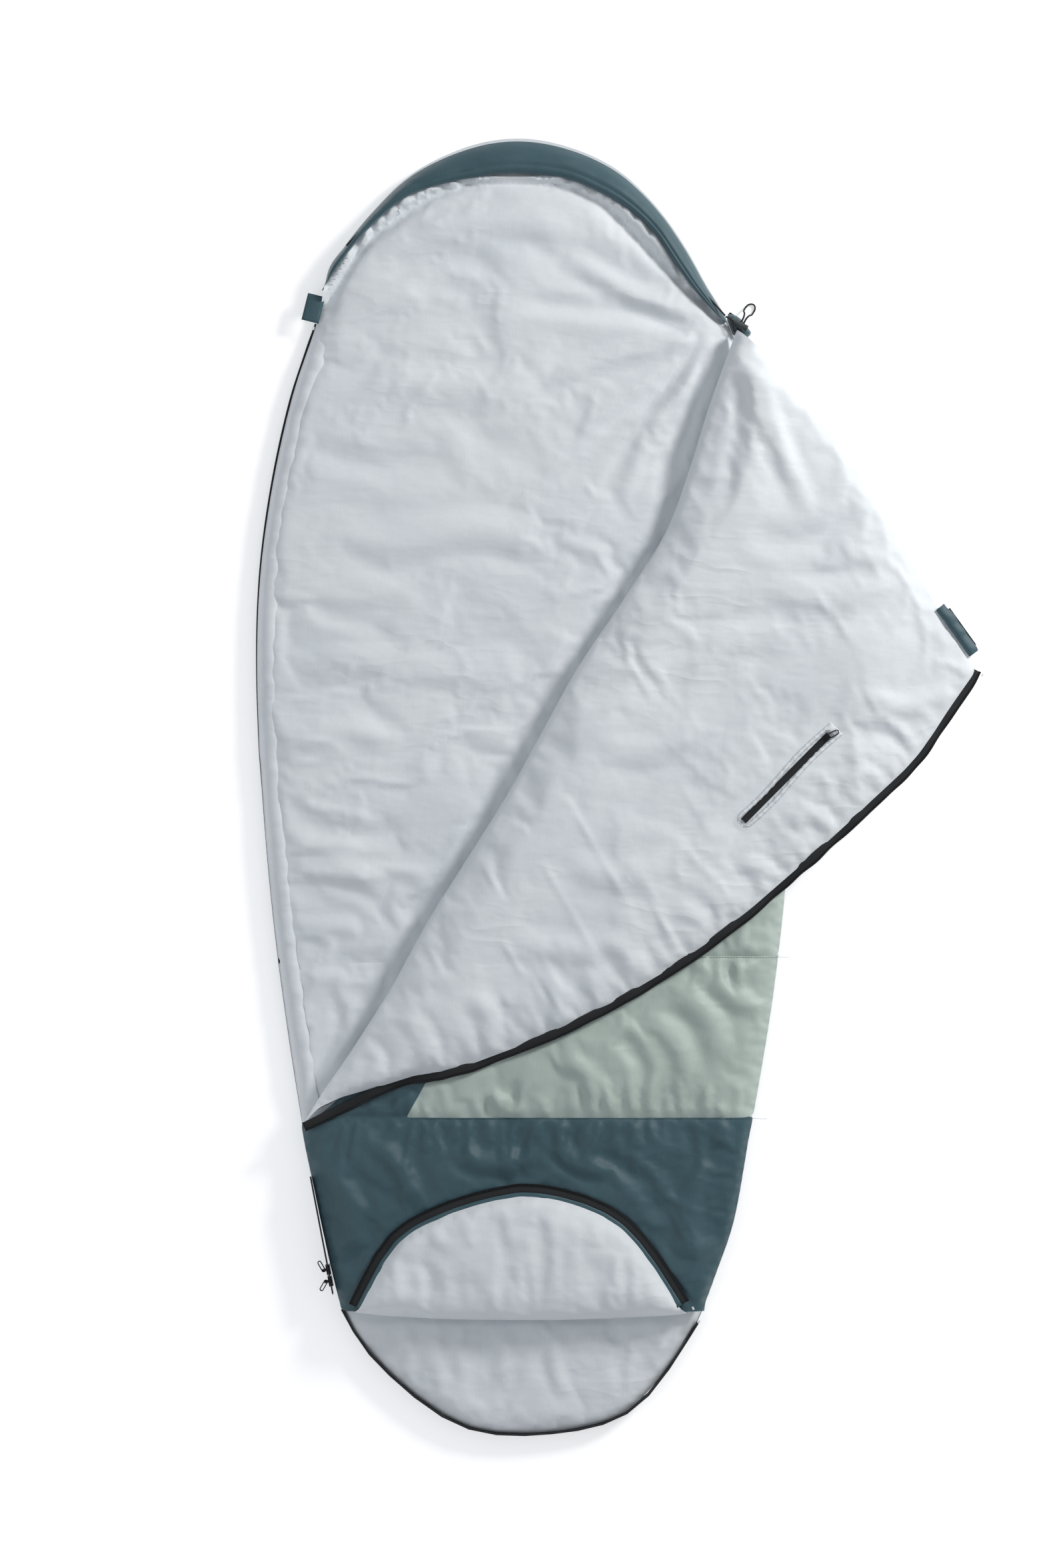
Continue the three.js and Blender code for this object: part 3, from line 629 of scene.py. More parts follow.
def merged_egg():
    """The whole base outline: the body's and the hood's, without the neck seam."""
    body = outline_of("base_shell")
    hood = outline_of("hood_shell")
    body = body[body[:, 1] < NECK - 0.002]
    hood = hood[hood[:, 1] > NECK + 0.001]
    both = np.vstack([body, hood])
    middle = both.mean(0)
    angle = np.arctan2(both[:, 1] - middle[1], both[:, 0] - middle[0])
    return both[np.argsort(angle)]


EGG = merged_egg()
EGG = spline(EGG[::2], 0.01, closed=True)[:-1]


def turn_of(points, middle):
    """The points' compass bearings from the middle."""
    return np.arctan2(points[:, 0] - middle[0], points[:, 1] - middle[1])


def rim_lines():
    """The hood rim's outer and inner edges, both from left to right."""
    inner = spline(bags([(-335, 818), (-303, 865), (-259, 919), (-195, 973), (-136, 995),
                         (-77, 1007), (-19, 1013), (60, 1007), (109, 990), (168, 958),
                         (217, 914), (257, 855), (291, 811), (334, 766)]), 0.01)
    middle = bag(-10, 640)
    angle = turn_of(EGG, middle)
    first, last = turn_of(inner[[0, -1]], middle)
    outer = EGG[(angle > first) & (angle < last)]
    return outer[np.argsort(turn_of(outer, middle))], inner


RIM_OUTER, RIM_INNER = rim_lines()

# ---- the quilted base

SEAM_Z = 0.015
BASE_CROWN = 0.0325
UNDER_COVER = 0.030
CREASE_Z = 0.0205
RIM_TUCK_Z = 0.026
HOOD_START = NECK - 0.02

CREASE = spline(bags([(-330, 795), (-308, 840), (-264, 904), (-220, 939), (-146, 985),
                      (-80, 1001), (0, 1004), (75, 995), (134, 968), (173, 929), (217, 882),
                      (262, 840), (300, 805), (330, 772)]), 0.01)
FOLD_EDGE = spline(bags([(352, 752), (345, 735), (305, 625), (273, 522), (234, 419),
                         (169, 315), (91, 199), (40, 108), (-24, -8), (-89, -112),
                         (-154, -215), (-219, -332), (-284, -435), (-329, -500),
                         (-358, -548)]), 0.01)
HOOD_CENTRE = bag(-10, 700)


def beyond(plan, line, middle):
    """True for points further out than the line, seen from the middle."""
    angle = turn_of(line, middle)
    order = np.argsort(angle)
    reach = np.interp(turn_of(plan, middle), angle[order],
                      np.linalg.norm(line - middle, axis=1)[order], left=9, right=9)
    return np.linalg.norm(plan - middle, axis=1) > reach


def in_hood(plan):
    """True past the crease between the body's lining and the hood's."""
    return beyond(plan, CREASE, HOOD_CENTRE) & (plan[:, 1] > HOOD_START)


def right_of_fold(plan):
    return (plan - FOLD_POINT[:2]) @ FOLD_RIGHT[:2]


def edge_shift(plan):
    """How far right of the fold's axis the rolled edge lies, level with each point."""
    along = (plan - FOLD_POINT[:2]) @ FOLD_ALONG[:2]
    place = (FOLD_EDGE - FOLD_POINT[:2]) @ FOLD_ALONG[:2]
    return np.interp(along, place, right_of_fold(FOLD_EDGE))


COLLAR_FOLDS = (fan((332, 752), [(60, 880), (-40, 800), (10, 660), (90, 560), (150, 470),
                                 (215, 470)], 5.0, 16)
                + fan((-352, -548), [(-250, -360), (-300, -330), (-345, -380), (-200, -280)],
                      4.0, 12))
BASE_FOLDS = [
    ([(-330, 760), (-250, 800), (-150, 815)], 3.5, 22),
    ([(-300, 640), (-200, 665), (-60, 655), (60, 690)], 3.5, 26),
    ([(-360, 560), (-240, 530), (-120, 545)], -3, 22),
    ([(-340, 420), (-220, 400), (-80, 425), (60, 400)], 3.5, 26),
    ([(-370, 300), (-280, 280), (-180, 300)], -3, 18),
    ([(-380, 180), (-260, 210), (-120, 190), (0, 205)], 3, 24),
    ([(-400, 60), (-300, 90), (-200, 75)], 3.5, 20),
    ([(-390, -60), (-280, -80), (-170, -60)], -3, 18),
    ([(-400, -160), (-300, -140), (-220, -170)], 3, 18),
    ([(-210, 900), (-120, 925), (10, 930), (110, 900)], 3.5, 24),
    ([(-240, 850), (-130, 870), (-20, 850)], -3, 18),
    ([(-395, -230), (-330, -235), (-260, -225)], 3, 14),
    ([(-200, -890), (-190, -940), (-205, -985)], 3.5, 12),
    ([(-120, -890), (-125, -950), (-110, -1000)], -3, 12),
    ([(-40, -890), (-30, -940), (-45, -990)], 3, 14),
    ([(60, -890), (50, -950), (65, -1010)], 3, 12),
    ([(150, -890), (160, -940), (145, -985)], -3, 12),
    ([(220, -885), (225, -920), (205, -960)], 3.5, 12),
]


def base_height(plan):
    d = edge_distance(plan, EGG)
    z = SEAM_Z + (BASE_CROWN - SEAM_Z) * round_edge(d, 0.045)
    inner = np.clip(d / 0.09, 0, 1)
    wrinkles = 3.2 * MM * ripple(plan, 0.16, 3.1, 0.15, 2.2, 2)
    wrinkles += 5.0 * MM * creases(plan, 0.10, 7.7, 0.12, 2.4)
    wrinkles += 2.5 * MM * creases(plan, 0.045, 2.7, 0.25, 2.0) - 0.8 * MM
    z = z + inner * (wrinkles + 1.7 * strokes(plan, BASE_FOLDS, True)
                     + 1.4 * strokes(plan, COLLAR_FOLDS, True))
    seam_gap = np.abs(plan[:, 1] - LINING_SEAM)
    pucker = 1.6 * MM * ripple(plan, 0.016, 4.4, math.pi / 2, 2.5, 2)
    z += np.exp(-(seam_gap / 0.02) ** 2) * (pucker - 2.5 * MM) * inner
    out = in_hood(plan)
    from_crease = to_line(plan, CREASE)[0]
    to_rim = to_line(plan, RIM_INNER)[0]
    climb = from_crease / np.maximum(from_crease + to_rim, 1e-6)
    slope = CREASE_Z + 0.022 * round_edge(climb, 1)
    dip = (z - CREASE_Z) * np.exp(-(from_crease / 0.016) ** 2)
    hood = plan[:, 1] > HOOD_START
    z = np.where(out, slope + 0.5 * wrinkles, np.where(hood, z - dip, z))
    s = right_of_fold(plan)
    low = smooth((s - edge_shift(plan) + 0.05) / 0.05)
    low *= smooth((NECK + 0.01 - plan[:, 1]) / 0.06)
    low *= plan[:, 1] > FOOT_CREASE - 0.02
    z = z + low * (np.minimum(z, UNDER_COVER - 0.002) - z)
    beyond_rim = beyond(plan, RIM_INNER, HOOD_CENTRE) & hood
    return np.where(beyond_rim, np.minimum(z, RIM_TUCK_Z), z)


def at_height(plan, z):
    """The plan's points at height z, which is one number or one for each point."""
    return np.column_stack([plan, np.broadcast_to(z, len(plan))])


def part_of(points, faces, keep, name, material):
    """A mesh of the faces whose centres pass keep."""
    middles = np.array([points[f].mean(0) for f in faces])
    wanted = [f for f, ok in zip(faces, keep(middles)) if ok]
    used = sorted({i for f in wanted for i in f})
    place = {i: n for n, i in enumerate(used)}
    return mesh_object(name, points[used], [[place[i] for i in f] for f in wanted], [material])


def base():
    level = even(bags([(-430, 0), (430, 0)]), STEP)
    level[:, 1] = LINING_SEAM
    level = level[inside(level, EGG)]
    level = level[edge_distance(level, EGG) > STEP * 0.7]
    plan, faces = fill(EGG, STEP, [level])
    points = at_height(plan, base_height(plan))
    s = right_of_fold(plan)
    hidden = smooth((s - edge_shift(plan) - 0.01) / 0.03) * (plan[:, 1] < NECK)
    hidden = hidden * (plan[:, 1] > FOOT_CREASE)
    held = np.maximum(smooth(1 - edge_distance(plan, EGG) / 0.015), hidden)
    held = np.maximum(held, 0.9 * (np.abs(plan[:, 1] - LINING_SEAM) < 0.004))
    held = np.maximum(held, in_hood(plan))
    points = buckle(points, faces, held, 0.012)
    upper = part_of(points, faces, lambda m: ~in_hood(m[:, :2]) & (m[:, 1] > LINING_SEAM),
                    "lining_upper", LINING)
    lower = part_of(points, faces, lambda m: m[:, 1] <= LINING_SEAM, "lining_lower", LINING)
    hood = part_of(points, faces, lambda m: in_hood(m[:, :2]), "lining_hood", LINING)
    for obj, node in ((upper, "base_lining_upper"), (lower, "base_lining_lower"),
                      (hood, "hood_lining")):
        cloth(obj, "mattress", "grey_lining", node)


SEWING_EASE = 1.04


def plan_area(obj):
    """The area that the cloth covers, seen from above, each layer counted."""
    bm = bmesh.new()
    bm.from_mesh(obj.data)
    total = sum(f.calc_area() * abs(f.normal.z) for f in bm.faces)
    bm.free()
    return total


def cloth_sheet(obj):
    """A thin crescent fills little of its own box. Works out a shorter length, at which the box
    would be no more than 1.7 times its area; that length is not used. Its length is cut down,
    so that the box is no more than 1.7 times its area.
    """
    lo, hi = get_co(obj).min(0), get_co(obj).max(0)
    width, length = float(hi[0] - lo[0]) * 1.02, float(hi[1] - lo[1]) * 1.02
    cut = plan_area(obj) * SEWING_EASE
    if cut < 0.4 * width * length:
        length = cut / (0.6 * width)


def cloth(obj, body, slot, node):
    subdivide(obj)
    cloth_sheet(obj)
    return finish_piece(obj, body, slot, node)


def base_shells():
    plan, faces = fill(EGG, 0.02)
    d = edge_distance(plan, EGG)
    z = SEAM_Z * (1 - round_edge(d, 0.014)) + 0.0004
    points = at_height(plan, z)
    body = part_of(points, faces, lambda m: m[:, 1] < NECK, "base_shell", TEAL)
    hood = part_of(points, faces, lambda m: m[:, 1] >= NECK, "hood_shell", TEAL)
    for obj, node in ((body, "base_shell"), (hood, "hood_shell")):
        cloth(obj, "mattress", "teal_shell", node)


def stuffing(name, loop, low, high, body, *nodes, droop=False, rim=0.03, step=0.03,
             material=BATTING, slot="batting", full=0.7):
    """A soft layer, crowned and drawn in at its edge."""
    plan, faces = fill(loop, step)
    d = edge_distance(plan, loop)
    rise = round_edge(d, rim)
    middle = (low + high) / 2
    fall = sag(plan[:, 0]) if droop else 0
    top = at_height(plan, middle + (high - middle) * rise - fall)
    bottom = at_height(plan, middle - (middle - low) * rise - fall)
    count = len(plan)
    ring = len(closed_even(loop, step))
    points = np.vstack([top, bottom[ring:]])
    shift = count - ring
    under = [[i if i < ring else i + shift for i in f][::-1] for f in faces]
    obj = mesh_object(name, points, faces + under, [material])
    return finish_piece(obj, body, slot, *nodes)


def inset(loop, amount):
    """The loop drawn in by the amount."""
    loop = closed_even(loop, 0.02)
    ahead = np.roll(loop, -1, 0) - np.roll(loop, 1, 0)
    ahead /= np.linalg.norm(ahead, axis=1, keepdims=True)
    moved = loop + amount * np.column_stack([-ahead[:, 1], ahead[:, 0]])
    keep = inside(moved, loop) & (edge_distance(moved, loop) > amount * 0.92)
    return moved[keep]


# ---- strips, tubes and teeth


def normals_of(line):
    """Unit vectors to the left of a plan line."""
    ahead = np.gradient(line[:, :2], axis=0)
    ahead /= np.maximum(np.linalg.norm(ahead, axis=1, keepdims=True), 1e-9)
    return np.column_stack([-ahead[:, 1], ahead[:, 0]])


def loft(name, rows, material, closed=False):
    """A sheet through rows of points of equal length."""
    count = len(rows[0])
    points = np.vstack(rows)
    faces = []
    total = len(rows) if closed else len(rows) - 1
    for r in range(total):
        a, b = r * count, ((r + 1) % len(rows)) * count
        for i in range(count - 1):
            faces.append([a + i, a + i + 1, b + i + 1, b + i])
    return mesh_object(name, points, faces, [material])


def ribbon(name, line, near, far, drop_near, drop_far, material, thick=0.0008):
    """A tape along a 3-D line, from near to far on its left, with its own rise and fall."""
    n = normals_of(line)
    rows = []
    for share in (0, 0.35, 0.7, 1):
        reach = near + (far - near) * share
        reach = reach[:, None] if isinstance(reach, np.ndarray) else reach
        drop = drop_near + (drop_far - drop_near) * share
        z = line[:, 2] + drop
        rows.append(at_height(line[:, :2] + n * reach, z))
    return thicken(loft(name, rows[::-1], material), thick, 0)


def tube(name, line, radius, material, sides=8):
    curve = bpy.data.curves.new(name, "CURVE")
    curve.dimensions = "3D"
    curve.bevel_depth = radius
    curve.bevel_resolution = max(1, sides // 4)
    curve.use_fill_caps = True
    part = curve.splines.new("POLY")
    part.points.add(len(line) - 1)
    for p, q in zip(part.points, line):
        p.co = (*q, 1)
    curve.materials.append(material)
    obj = bpy.data.objects.new(name, curve)
    bpy.context.scene.collection.objects.link(obj)
    return obj


def sides_along(line, step):
    """The line with a point every step, and unit vectors ahead of it and to its left."""
    line = even(line, step)
    ahead = np.gradient(line, axis=0)
    ahead /= np.linalg.norm(ahead, axis=1, keepdims=True)
    side = np.column_stack([-ahead[:, 1], ahead[:, 0], np.zeros(len(line))])
    return zip(line, ahead, side)


def teeth(name, line, material, pitch=0.0026, width=0.0046, tall=0.0022):
    """A zip's coil: a small rounded block for each turn, along a 3-D line."""
    corners = [(-0.5, -0.35, 0), (0.5, -0.35, 0), (0.5, 0.35, 0), (-0.5, 0.35, 0),
               (-0.35, -0.2, 1), (0.35, -0.2, 1), (0.35, 0.2, 1), (-0.35, 0.2, 1)]
    quads = [(0, 3, 2, 1), (4, 5, 6, 7), (0, 1, 5, 4), (1, 2, 6, 5), (2, 3, 7, 6), (3, 0, 4, 7)]
    points = []
    faces = []
    for p, a, s in sides_along(line, pitch):
        first = len(points)
        points += [p + s * u * width + a * v * pitch + UP * (w - 0.5) * tall
                   for u, v, w in corners]
        faces += [[first + i for i in q] for q in quads]
    return mesh_object(name, points, faces, [material], False)


def stitches(name, line, material, length=0.0032, gap=0.0016, radius=0.0003):
    """A row of sewn stitches along a 3-D line."""
    points = []
    faces = []
    for p, a, s in sides_along(line, length + gap):
        k = len(points)
        half = a * length / 2
        for end in (-half, half):
            points += [p + end + s * radius, p + end + UP * radius * 1.5, p + end - s * radius]
        faces += [[k, k + 3, k + 4, k + 1], [k + 1, k + 4, k + 5, k + 2], [k, k + 1, k + 2],
                  [k + 3, k + 5, k + 4]]
    return mesh_object(name, points, faces, [material], False)


# ---- the hood's rim


def face_out(obj, close=False):
    """Turns the faces outwards, after filling the open ends if close is set."""
    bm = bmesh.new()
    bm.from_mesh(obj.data)
    if close:
        bmesh.ops.holes_fill(bm, edges=[e for e in bm.edges if e.is_boundary], sides=0)
    bmesh.ops.recalc_face_normals(bm, faces=bm.faces)
    bm.to_mesh(obj.data)
    bm.free()


def hood_rim():
    count = 90
    outer = even(spline(RIM_OUTER, 0.01), 0.001)
    inner = even(spline(RIM_INNER, 0.01), 0.001)
    outer = outer[np.linspace(0, len(outer) - 1, count).astype(int)]
    inner = inner[np.linspace(0, len(inner) - 1, count).astype(int)]
    ends = np.minimum(np.linspace(0, 1, count), np.linspace(1, 0, count))
    full = smooth(ends / 0.06) * 0.85 + 0.15
    wobble = ripple(outer, 0.07, 9.2, 0, 1, 3)
    rows = []
    for t in (0, 0.04, 0.12, 0.25, 0.4, 0.55, 0.68, 0.76, 0.82, 0.9, 0.97, 1.0):
        across = outer + (inner - outer) * t
        base_z = SEAM_Z + (0.036 - SEAM_Z) * t
        swell = math.sqrt(max(0, 1 - (2 * t - 1) ** 2)) * 0.018
        groove = 0.003 * math.exp(-((t - 0.76) / 0.04) ** 2)
        z = base_z + (swell - groove) * full + wobble * 0.0022 * math.sin(math.pi * t)
        rows.append(at_height(across, z))
    for t, z in ((0.98, 0.029), (0.7, 0.0275), (0.3, 0.02), (0.03, 0.0135)):
        across = outer + (inner - outer) * t
        rows.append(at_height(across, z))
    obj = loft("hood_rim", rows, TEAL, closed=True)
    face_out(obj, close=True)
    subdivide(obj)
    finish_piece(obj, "mattress", "teal_shell", "hood_rim")
    seam = outer + (inner - outer) * 0.76
    top = at_height(seam, SEAM_Z + 0.021 * 0.76 + 0.0125 * full)
    sewn = stitches("rim_channel_stitching", top[2:-2], DARK_THREAD)
    finish_piece(sewn, "mattress", "teal_shell")


# ---- the fixed part of the cover


def cover_outline():
    """The fixed part of the cover: the right side, and the whole width near the foot."""
    right = EGG[(EGG[:, 0] > CENTRE_X) & (EGG[:, 1] > FOOT_CREASE) & (EGG[:, 1] < FOLD_POINT[1])]
    right = right[np.argsort(right[:, 1])]
    left = EGG[(EGG[:, 0] < CENTRE_X) & (EGG[:, 1] > FOOT_CREASE)
               & (EGG[:, 1] < bag(0, -552)[1])]
    left = left[np.argsort(-left[:, 1])]
    fold = np.array([FOLD_POINT[:2], bag(-285, -498), bag(-340, -545)])
    low_left = np.array([[left[-1, 0], FOOT_CREASE]])
    low_right = np.array([[right[0, 0], FOOT_CREASE]])
    return np.vstack([low_right, right, fold, left, low_left])


COVER = cover_outline()
FLAP = outline_of("flap_lining")
FOOT_FLAP = outline_of("foot_flap_lining")
COVER_SEAM_Z = 0.034
COVER_CROWN = 0.0605
COVER_UNDER_FLAP = 0.0596
COVER_LIMIT = 0.070
COVER_LINING_Z = 0.0352


def cut_lines(plan):
    """Distance to the lines the cover was cut along: its fold, its foot crease, the neck."""
    fold = np.array([FOLD_POINT[:2], bag(-285, -498), bag(-345, -548)])
    s = to_line(plan, fold)[0]
    foot = np.abs(plan[:, 1] - FOOT_CREASE)
    top = np.abs(plan[:, 1] - COVER[:, 1].max())
    return np.minimum(np.minimum(s, foot), top)


def seam_folds(y, start, end, above, below, seed):
    """Uneven short folds that run into a sewn seam from both sides."""
    pick = random.Random(seed)
    made = []
    x = start
    while x < end:
        for side, reach in ((1, above), (-1, below)):
            lean = pick.uniform(-16, 16)
            far = y + side * reach * pick.uniform(0.35, 1.15)
            tall = pick.choice((1, 1, -0.7)) * pick.uniform(1.6, 4.4)
            made.append(([(x, y + side * 4), (x + lean * 0.4, (y + far) / 2), (x + lean, far)],
                         tall, pick.uniform(6, 11)))
        x += pick.uniform(11, 27)
    return made


COVER_FOLDS = seam_folds(-280, 215, 440, 60, 60, 3) + seam_folds(-546, -340, 420, 70, 95, 8) + [
    ([(250, -330), (300, -380), (330, -460)], 5, 20),
    ([(60, -440), (110, -480), (130, -530)], 5, 15),
    ([(-60, -500), (-20, -530), (0, -545)], 4, 12),
    ([(150, -400), (190, -450), (200, -500)], -5, 14),
    ([(360, -215), (390, -180), (410, -130)], 4, 15),
    ([(300, -300), (350, -350), (420, -370)], 4.5, 17),
    ([(200, -360), (260, -440), (270, -520)], 4.5, 17),
    ([(-340, -590), (-290, -680), (-270, -790)], 5.5, 18),
    ([(-250, -570), (-190, -650), (-180, -700)], 5, 16),
    ([(300, -610), (270, -700), (290, -800)], 5.5, 20),
    ([(380, -600), (350, -680), (340, -780)], 4.5, 16),
    ([(-120, -590), (-60, -620), (40, -610)], 4.5, 16),
    ([(120, -590), (190, -650), (240, -730)], -5, 15),
    ([(40, -575), (90, -620), (150, -640)], 4, 13),
    ([(-330, -700), (-310, -760), (-290, -830)], 4.5, 12),
    ([(330, -790), (300, -830), (280, -855)], 4.5, 10),
]


def gathers(plan, line, reach, height, size, seed):
    """Short puckers square to a sewn edge, fading away from it."""
    gap, share = to_line(plan, line)
    along = share * np.linalg.norm(np.diff(line, axis=0), axis=1).sum()
    wave_at = np.array([noise.fractal(Vector((a / size, g / (size * 5), seed)), 1, 2, 2)
                        for a, g in zip(along, gap)])
    return height * wave_at * np.exp(-(gap / reach) ** 2)


def cover_height(plan):
    d = to_nearest(plan, COVER_EDGE)
    z = COVER_SEAM_Z + (COVER_CROWN - COVER_SEAM_Z) * round_edge(d, 0.05)
    soft = np.clip(d / 0.05, 0, 1)
    z = z + soft * (1.5 * strokes(plan, COVER_FOLDS, True)
                    + 4.0 * MM * ripple(plan, 0.10, 5.5, 2.2, 1.8, 2)
                    + 3.0 * MM * creases(plan, 0.07, 4.9, 2.3, 2.2))
    for seam in (QUILT_SEAM, COLOUR_SEAM):
        z -= soft * 3.5 * MM * np.exp(-((plan[:, 1] - seam) / 0.006) ** 2)
    z += soft * gathers(plan, COVER_EDGE_LINE, 0.045, 5.0 * MM, 0.018, 2.2)
    gap = np.where(inside(plan, FLAP), edge_distance(plan, FLAP), 0)
    covered = smooth(gap / 0.02)
    z = z + covered * (np.minimum(z, COVER_UNDER_FLAP) - z)
    limit = np.full(len(plan), COVER_LIMIT)
    for loop in (FLAP, FOOT_FLAP):
        gap = np.where(inside(plan, loop), 0, edge_distance(plan, loop))
        limit = np.minimum(limit, COVER_UNDER_FLAP + 0.012 * smooth((gap - 0.014) / 0.03))
    return np.minimum(z, limit)


def longest_run(loop, keep):
    """The longest stretch of a closed loop whose points pass keep, in order."""
    count = len(loop)
    start = next(i for i in range(count) if not keep[i])
    best, run = [], []
    for k in range(count + 1):
        i = (start + k) % count
        if keep[i]:
            run.append(i)
        else:
            best, run = max(best, run, key=len), []
    return loop[best]


COVER_LOOP = closed_even(COVER, 0.006)
COVER_EDGE = COVER_LOOP[cut_lines(COVER_LOOP) > 0.004]
COVER_EDGE_LINE = longest_run(COVER_LOOP, cut_lines(COVER_LOOP) > 0.004)

# The teal foot panel reaches up under the flap's zip left of this slanted seam.
WEDGE_X = CENTRE_X - 193 * MM
WEDGE_LEAN = 0.55


def fixed_cover():
    seams = []
    for y in (QUILT_SEAM, COLOUR_SEAM):
        level = even(np.array([[-0.7, y], [0.4, y]]), 0.008)
        level = level[inside(level, COVER)]
        level = level[edge_distance(level, COVER) > 0.006]
        seams.append(level)
    wedge = np.array([[WEDGE_X + WEDGE_LEAN * up, COLOUR_SEAM + up] for up in (0.005, 0.07)])
    seams.append(even(wedge, 0.008))
    plan, faces = fill(COVER, STEP * 0.9, seams)
    points = at_height(plan, cover_height(plan))
    free = ~inside(plan, FLAP) & ~inside(plan, FOOT_FLAP)
    held = np.where(free, smooth(1 - to_nearest(plan, COVER_EDGE) / 0.012), 1)
    for seam in (QUILT_SEAM, COLOUR_SEAM):
        held = np.maximum(held, np.abs(plan[:, 1] - seam) < 0.003)
    for loop in (FLAP, FOOT_FLAP):
        held = np.maximum(held, smooth(1 - edge_distance(plan, loop) / 0.025))
    points = buckle(points, faces, held, 0.015, up=0.007)

    def seen(m):
        return right_of_fold(m[:, :2]) > edge_shift(m[:, :2]) + 0.045

    def teal(m):
        foot = m[:, 0] < WEDGE_X + WEDGE_LEAN * (m[:, 1] - COLOUR_SEAM)
        shown = right_of_fold(m[:, :2]) > edge_shift(m[:, :2]) + 0.006
        return (m[:, 1] <= COLOUR_SEAM) | (foot & shown & (m[:, 1] < COLOUR_SEAM + 0.08))

    parts = [
        ("cover_shell_upper", "cover_shell_upper", SAGE, "sage_shell",
         lambda m: (m[:, 1] > QUILT_SEAM) & seen(m)),
        ("cover_shell_lower", "cover_shell_lower", SAGE, "sage_shell",
         lambda m: (m[:, 1] <= QUILT_SEAM) & ~teal(m) & seen(m)),
        ("cover_shell_foot", "cover_shell_foot", TEAL, "teal_shell", teal),
    ]
    for name, node, material, slot, keep in parts:
        obj = part_of(points, faces, keep, name, material)
        cloth(obj, "mattress", slot, node)
        if node == "cover_shell_upper":
            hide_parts("right_side_seam")
    plan, faces = fill(inset(COVER, 0.006), 0.03)
    under = part_of(at_height(plan, COVER_LINING_Z), faces,
                    lambda m: right_of_fold(m[:, :2]) > edge_shift(m[:, :2]) + 0.03,
                    "cover_lining_sheet", LINING)
    cloth_sheet(under)
    finish_piece(under, "mattress", "grey_lining", "cover_lining")
    stuffing("cover_batting", batting_loop(COVER), 0.0365, 0.0500, "mattress",
             "cover_insulation")


# ---- the folded flap

HIGHEST = 0.1025
FLAP_CROWN = 0.0975
FLAP_FLAT = 0.0862
FLAP_EDGE_Z = 0.0715
ROLL_MIDDLE = 0.0600
UNDER_ROLL = 0.035
SHELL_Z = 0.0612
BATTING_LOW = 0.0628
BATTING_HIGH = 0.0765


def flap_loop():
    """The folded cover as it is seen: its rolled edge, its collar edge and its zip edge."""
    loop = closed_even(FLAP, 0.006)
    free = longest_run(loop, np.abs(right_of_fold(loop)) > 0.006)
    if np.linalg.norm(free[0] - FOLD_EDGE[0]) > np.linalg.norm(free[-1] - FOLD_EDGE[0]):
        free = free[::-1]
    tip = bags([(-228, -491), (-254, -498), (-300, -511), (-338, -529), (-363, -556)])
    free = np.vstack([free[6:-18], tip])
    return free, np.vstack([free, FOLD_EDGE[::-1]])


FLAP_FREE, FLAP_SEEN = flap_loop()
if area(FLAP_SEEN) < 0:
    FLAP_SEEN = FLAP_SEEN[::-1]
CORNER = int(np.argmax(FLAP_FREE[:, 0]))
ZIP_LINE = FLAP_FREE[CORNER:]
POCKET_LOW = bag(361, -57)
POCKET_HIGH = bag(502, 85)
POCKET_MIDDLE = (POCKET_LOW + POCKET_HIGH) / 2
POCKET_ALONG = (POCKET_HIGH - POCKET_LOW) / np.linalg.norm(POCKET_HIGH - POCKET_LOW)
POCKET_ACROSS = np.array([-POCKET_ALONG[1], POCKET_ALONG[0]])

FLAP_FOLDS = (
    fan((360, 735), [(400, 560), (330, 420), (450, 480), (290, 300), (480, 420)], 3.0, 16)
    + [([(700, 150), (620, 130), (560, 160)], 4, 16),
       ([(640, 60), (580, 90), (540, 70)], -3.5, 14),
       ([(600, -10), (560, 20), (520, 0)], 4, 14),
       ([(520, -90), (480, -50), (430, -60)], 4, 14),
       ([(430, -190), (400, -140), (350, -120)], 4.5, 14),
       ([(300, -270), (290, -220), (240, -190)], 4, 14),
       ([(180, -340), (170, -280), (130, -240)], 4.5, 16),
       ([(60, -405), (60, -340), (20, -290)], 4, 16),
       ([(-60, -450), (-50, -390), (-90, -330)], 4.5, 16),
       ([(-170, -480), (-160, -420), (-200, -370)], 4, 14),
       ([(-260, -500), (-240, -450), (-270, -420)], 3.5, 12),
       ([(620, 340), (500, 310), (380, 330)], 4, 24),
       ([(560, 450), (450, 400), (350, 420)], -3.5, 22),
       ([(250, 150), (330, 230), (450, 260)], 4, 24),
       ([(120, 60), (220, 60), (300, 110)], 3.5, 20),
       ([(60, -120), (160, -150), (260, -110)], 4, 22),
       ([(-40, -240), (60, -270), (180, -250)], 3.5, 20)]
)


def pocket_gap(plan):
    """Distance in plan to the rectangle that the pocket's stitching holds flat."""
    local = (plan - POCKET_MIDDLE) @ np.column_stack([POCKET_ALONG, POCKET_ACROSS])
    return np.linalg.norm(np.maximum(np.abs(local) - [0.112, 0.02], 0), axis=1)


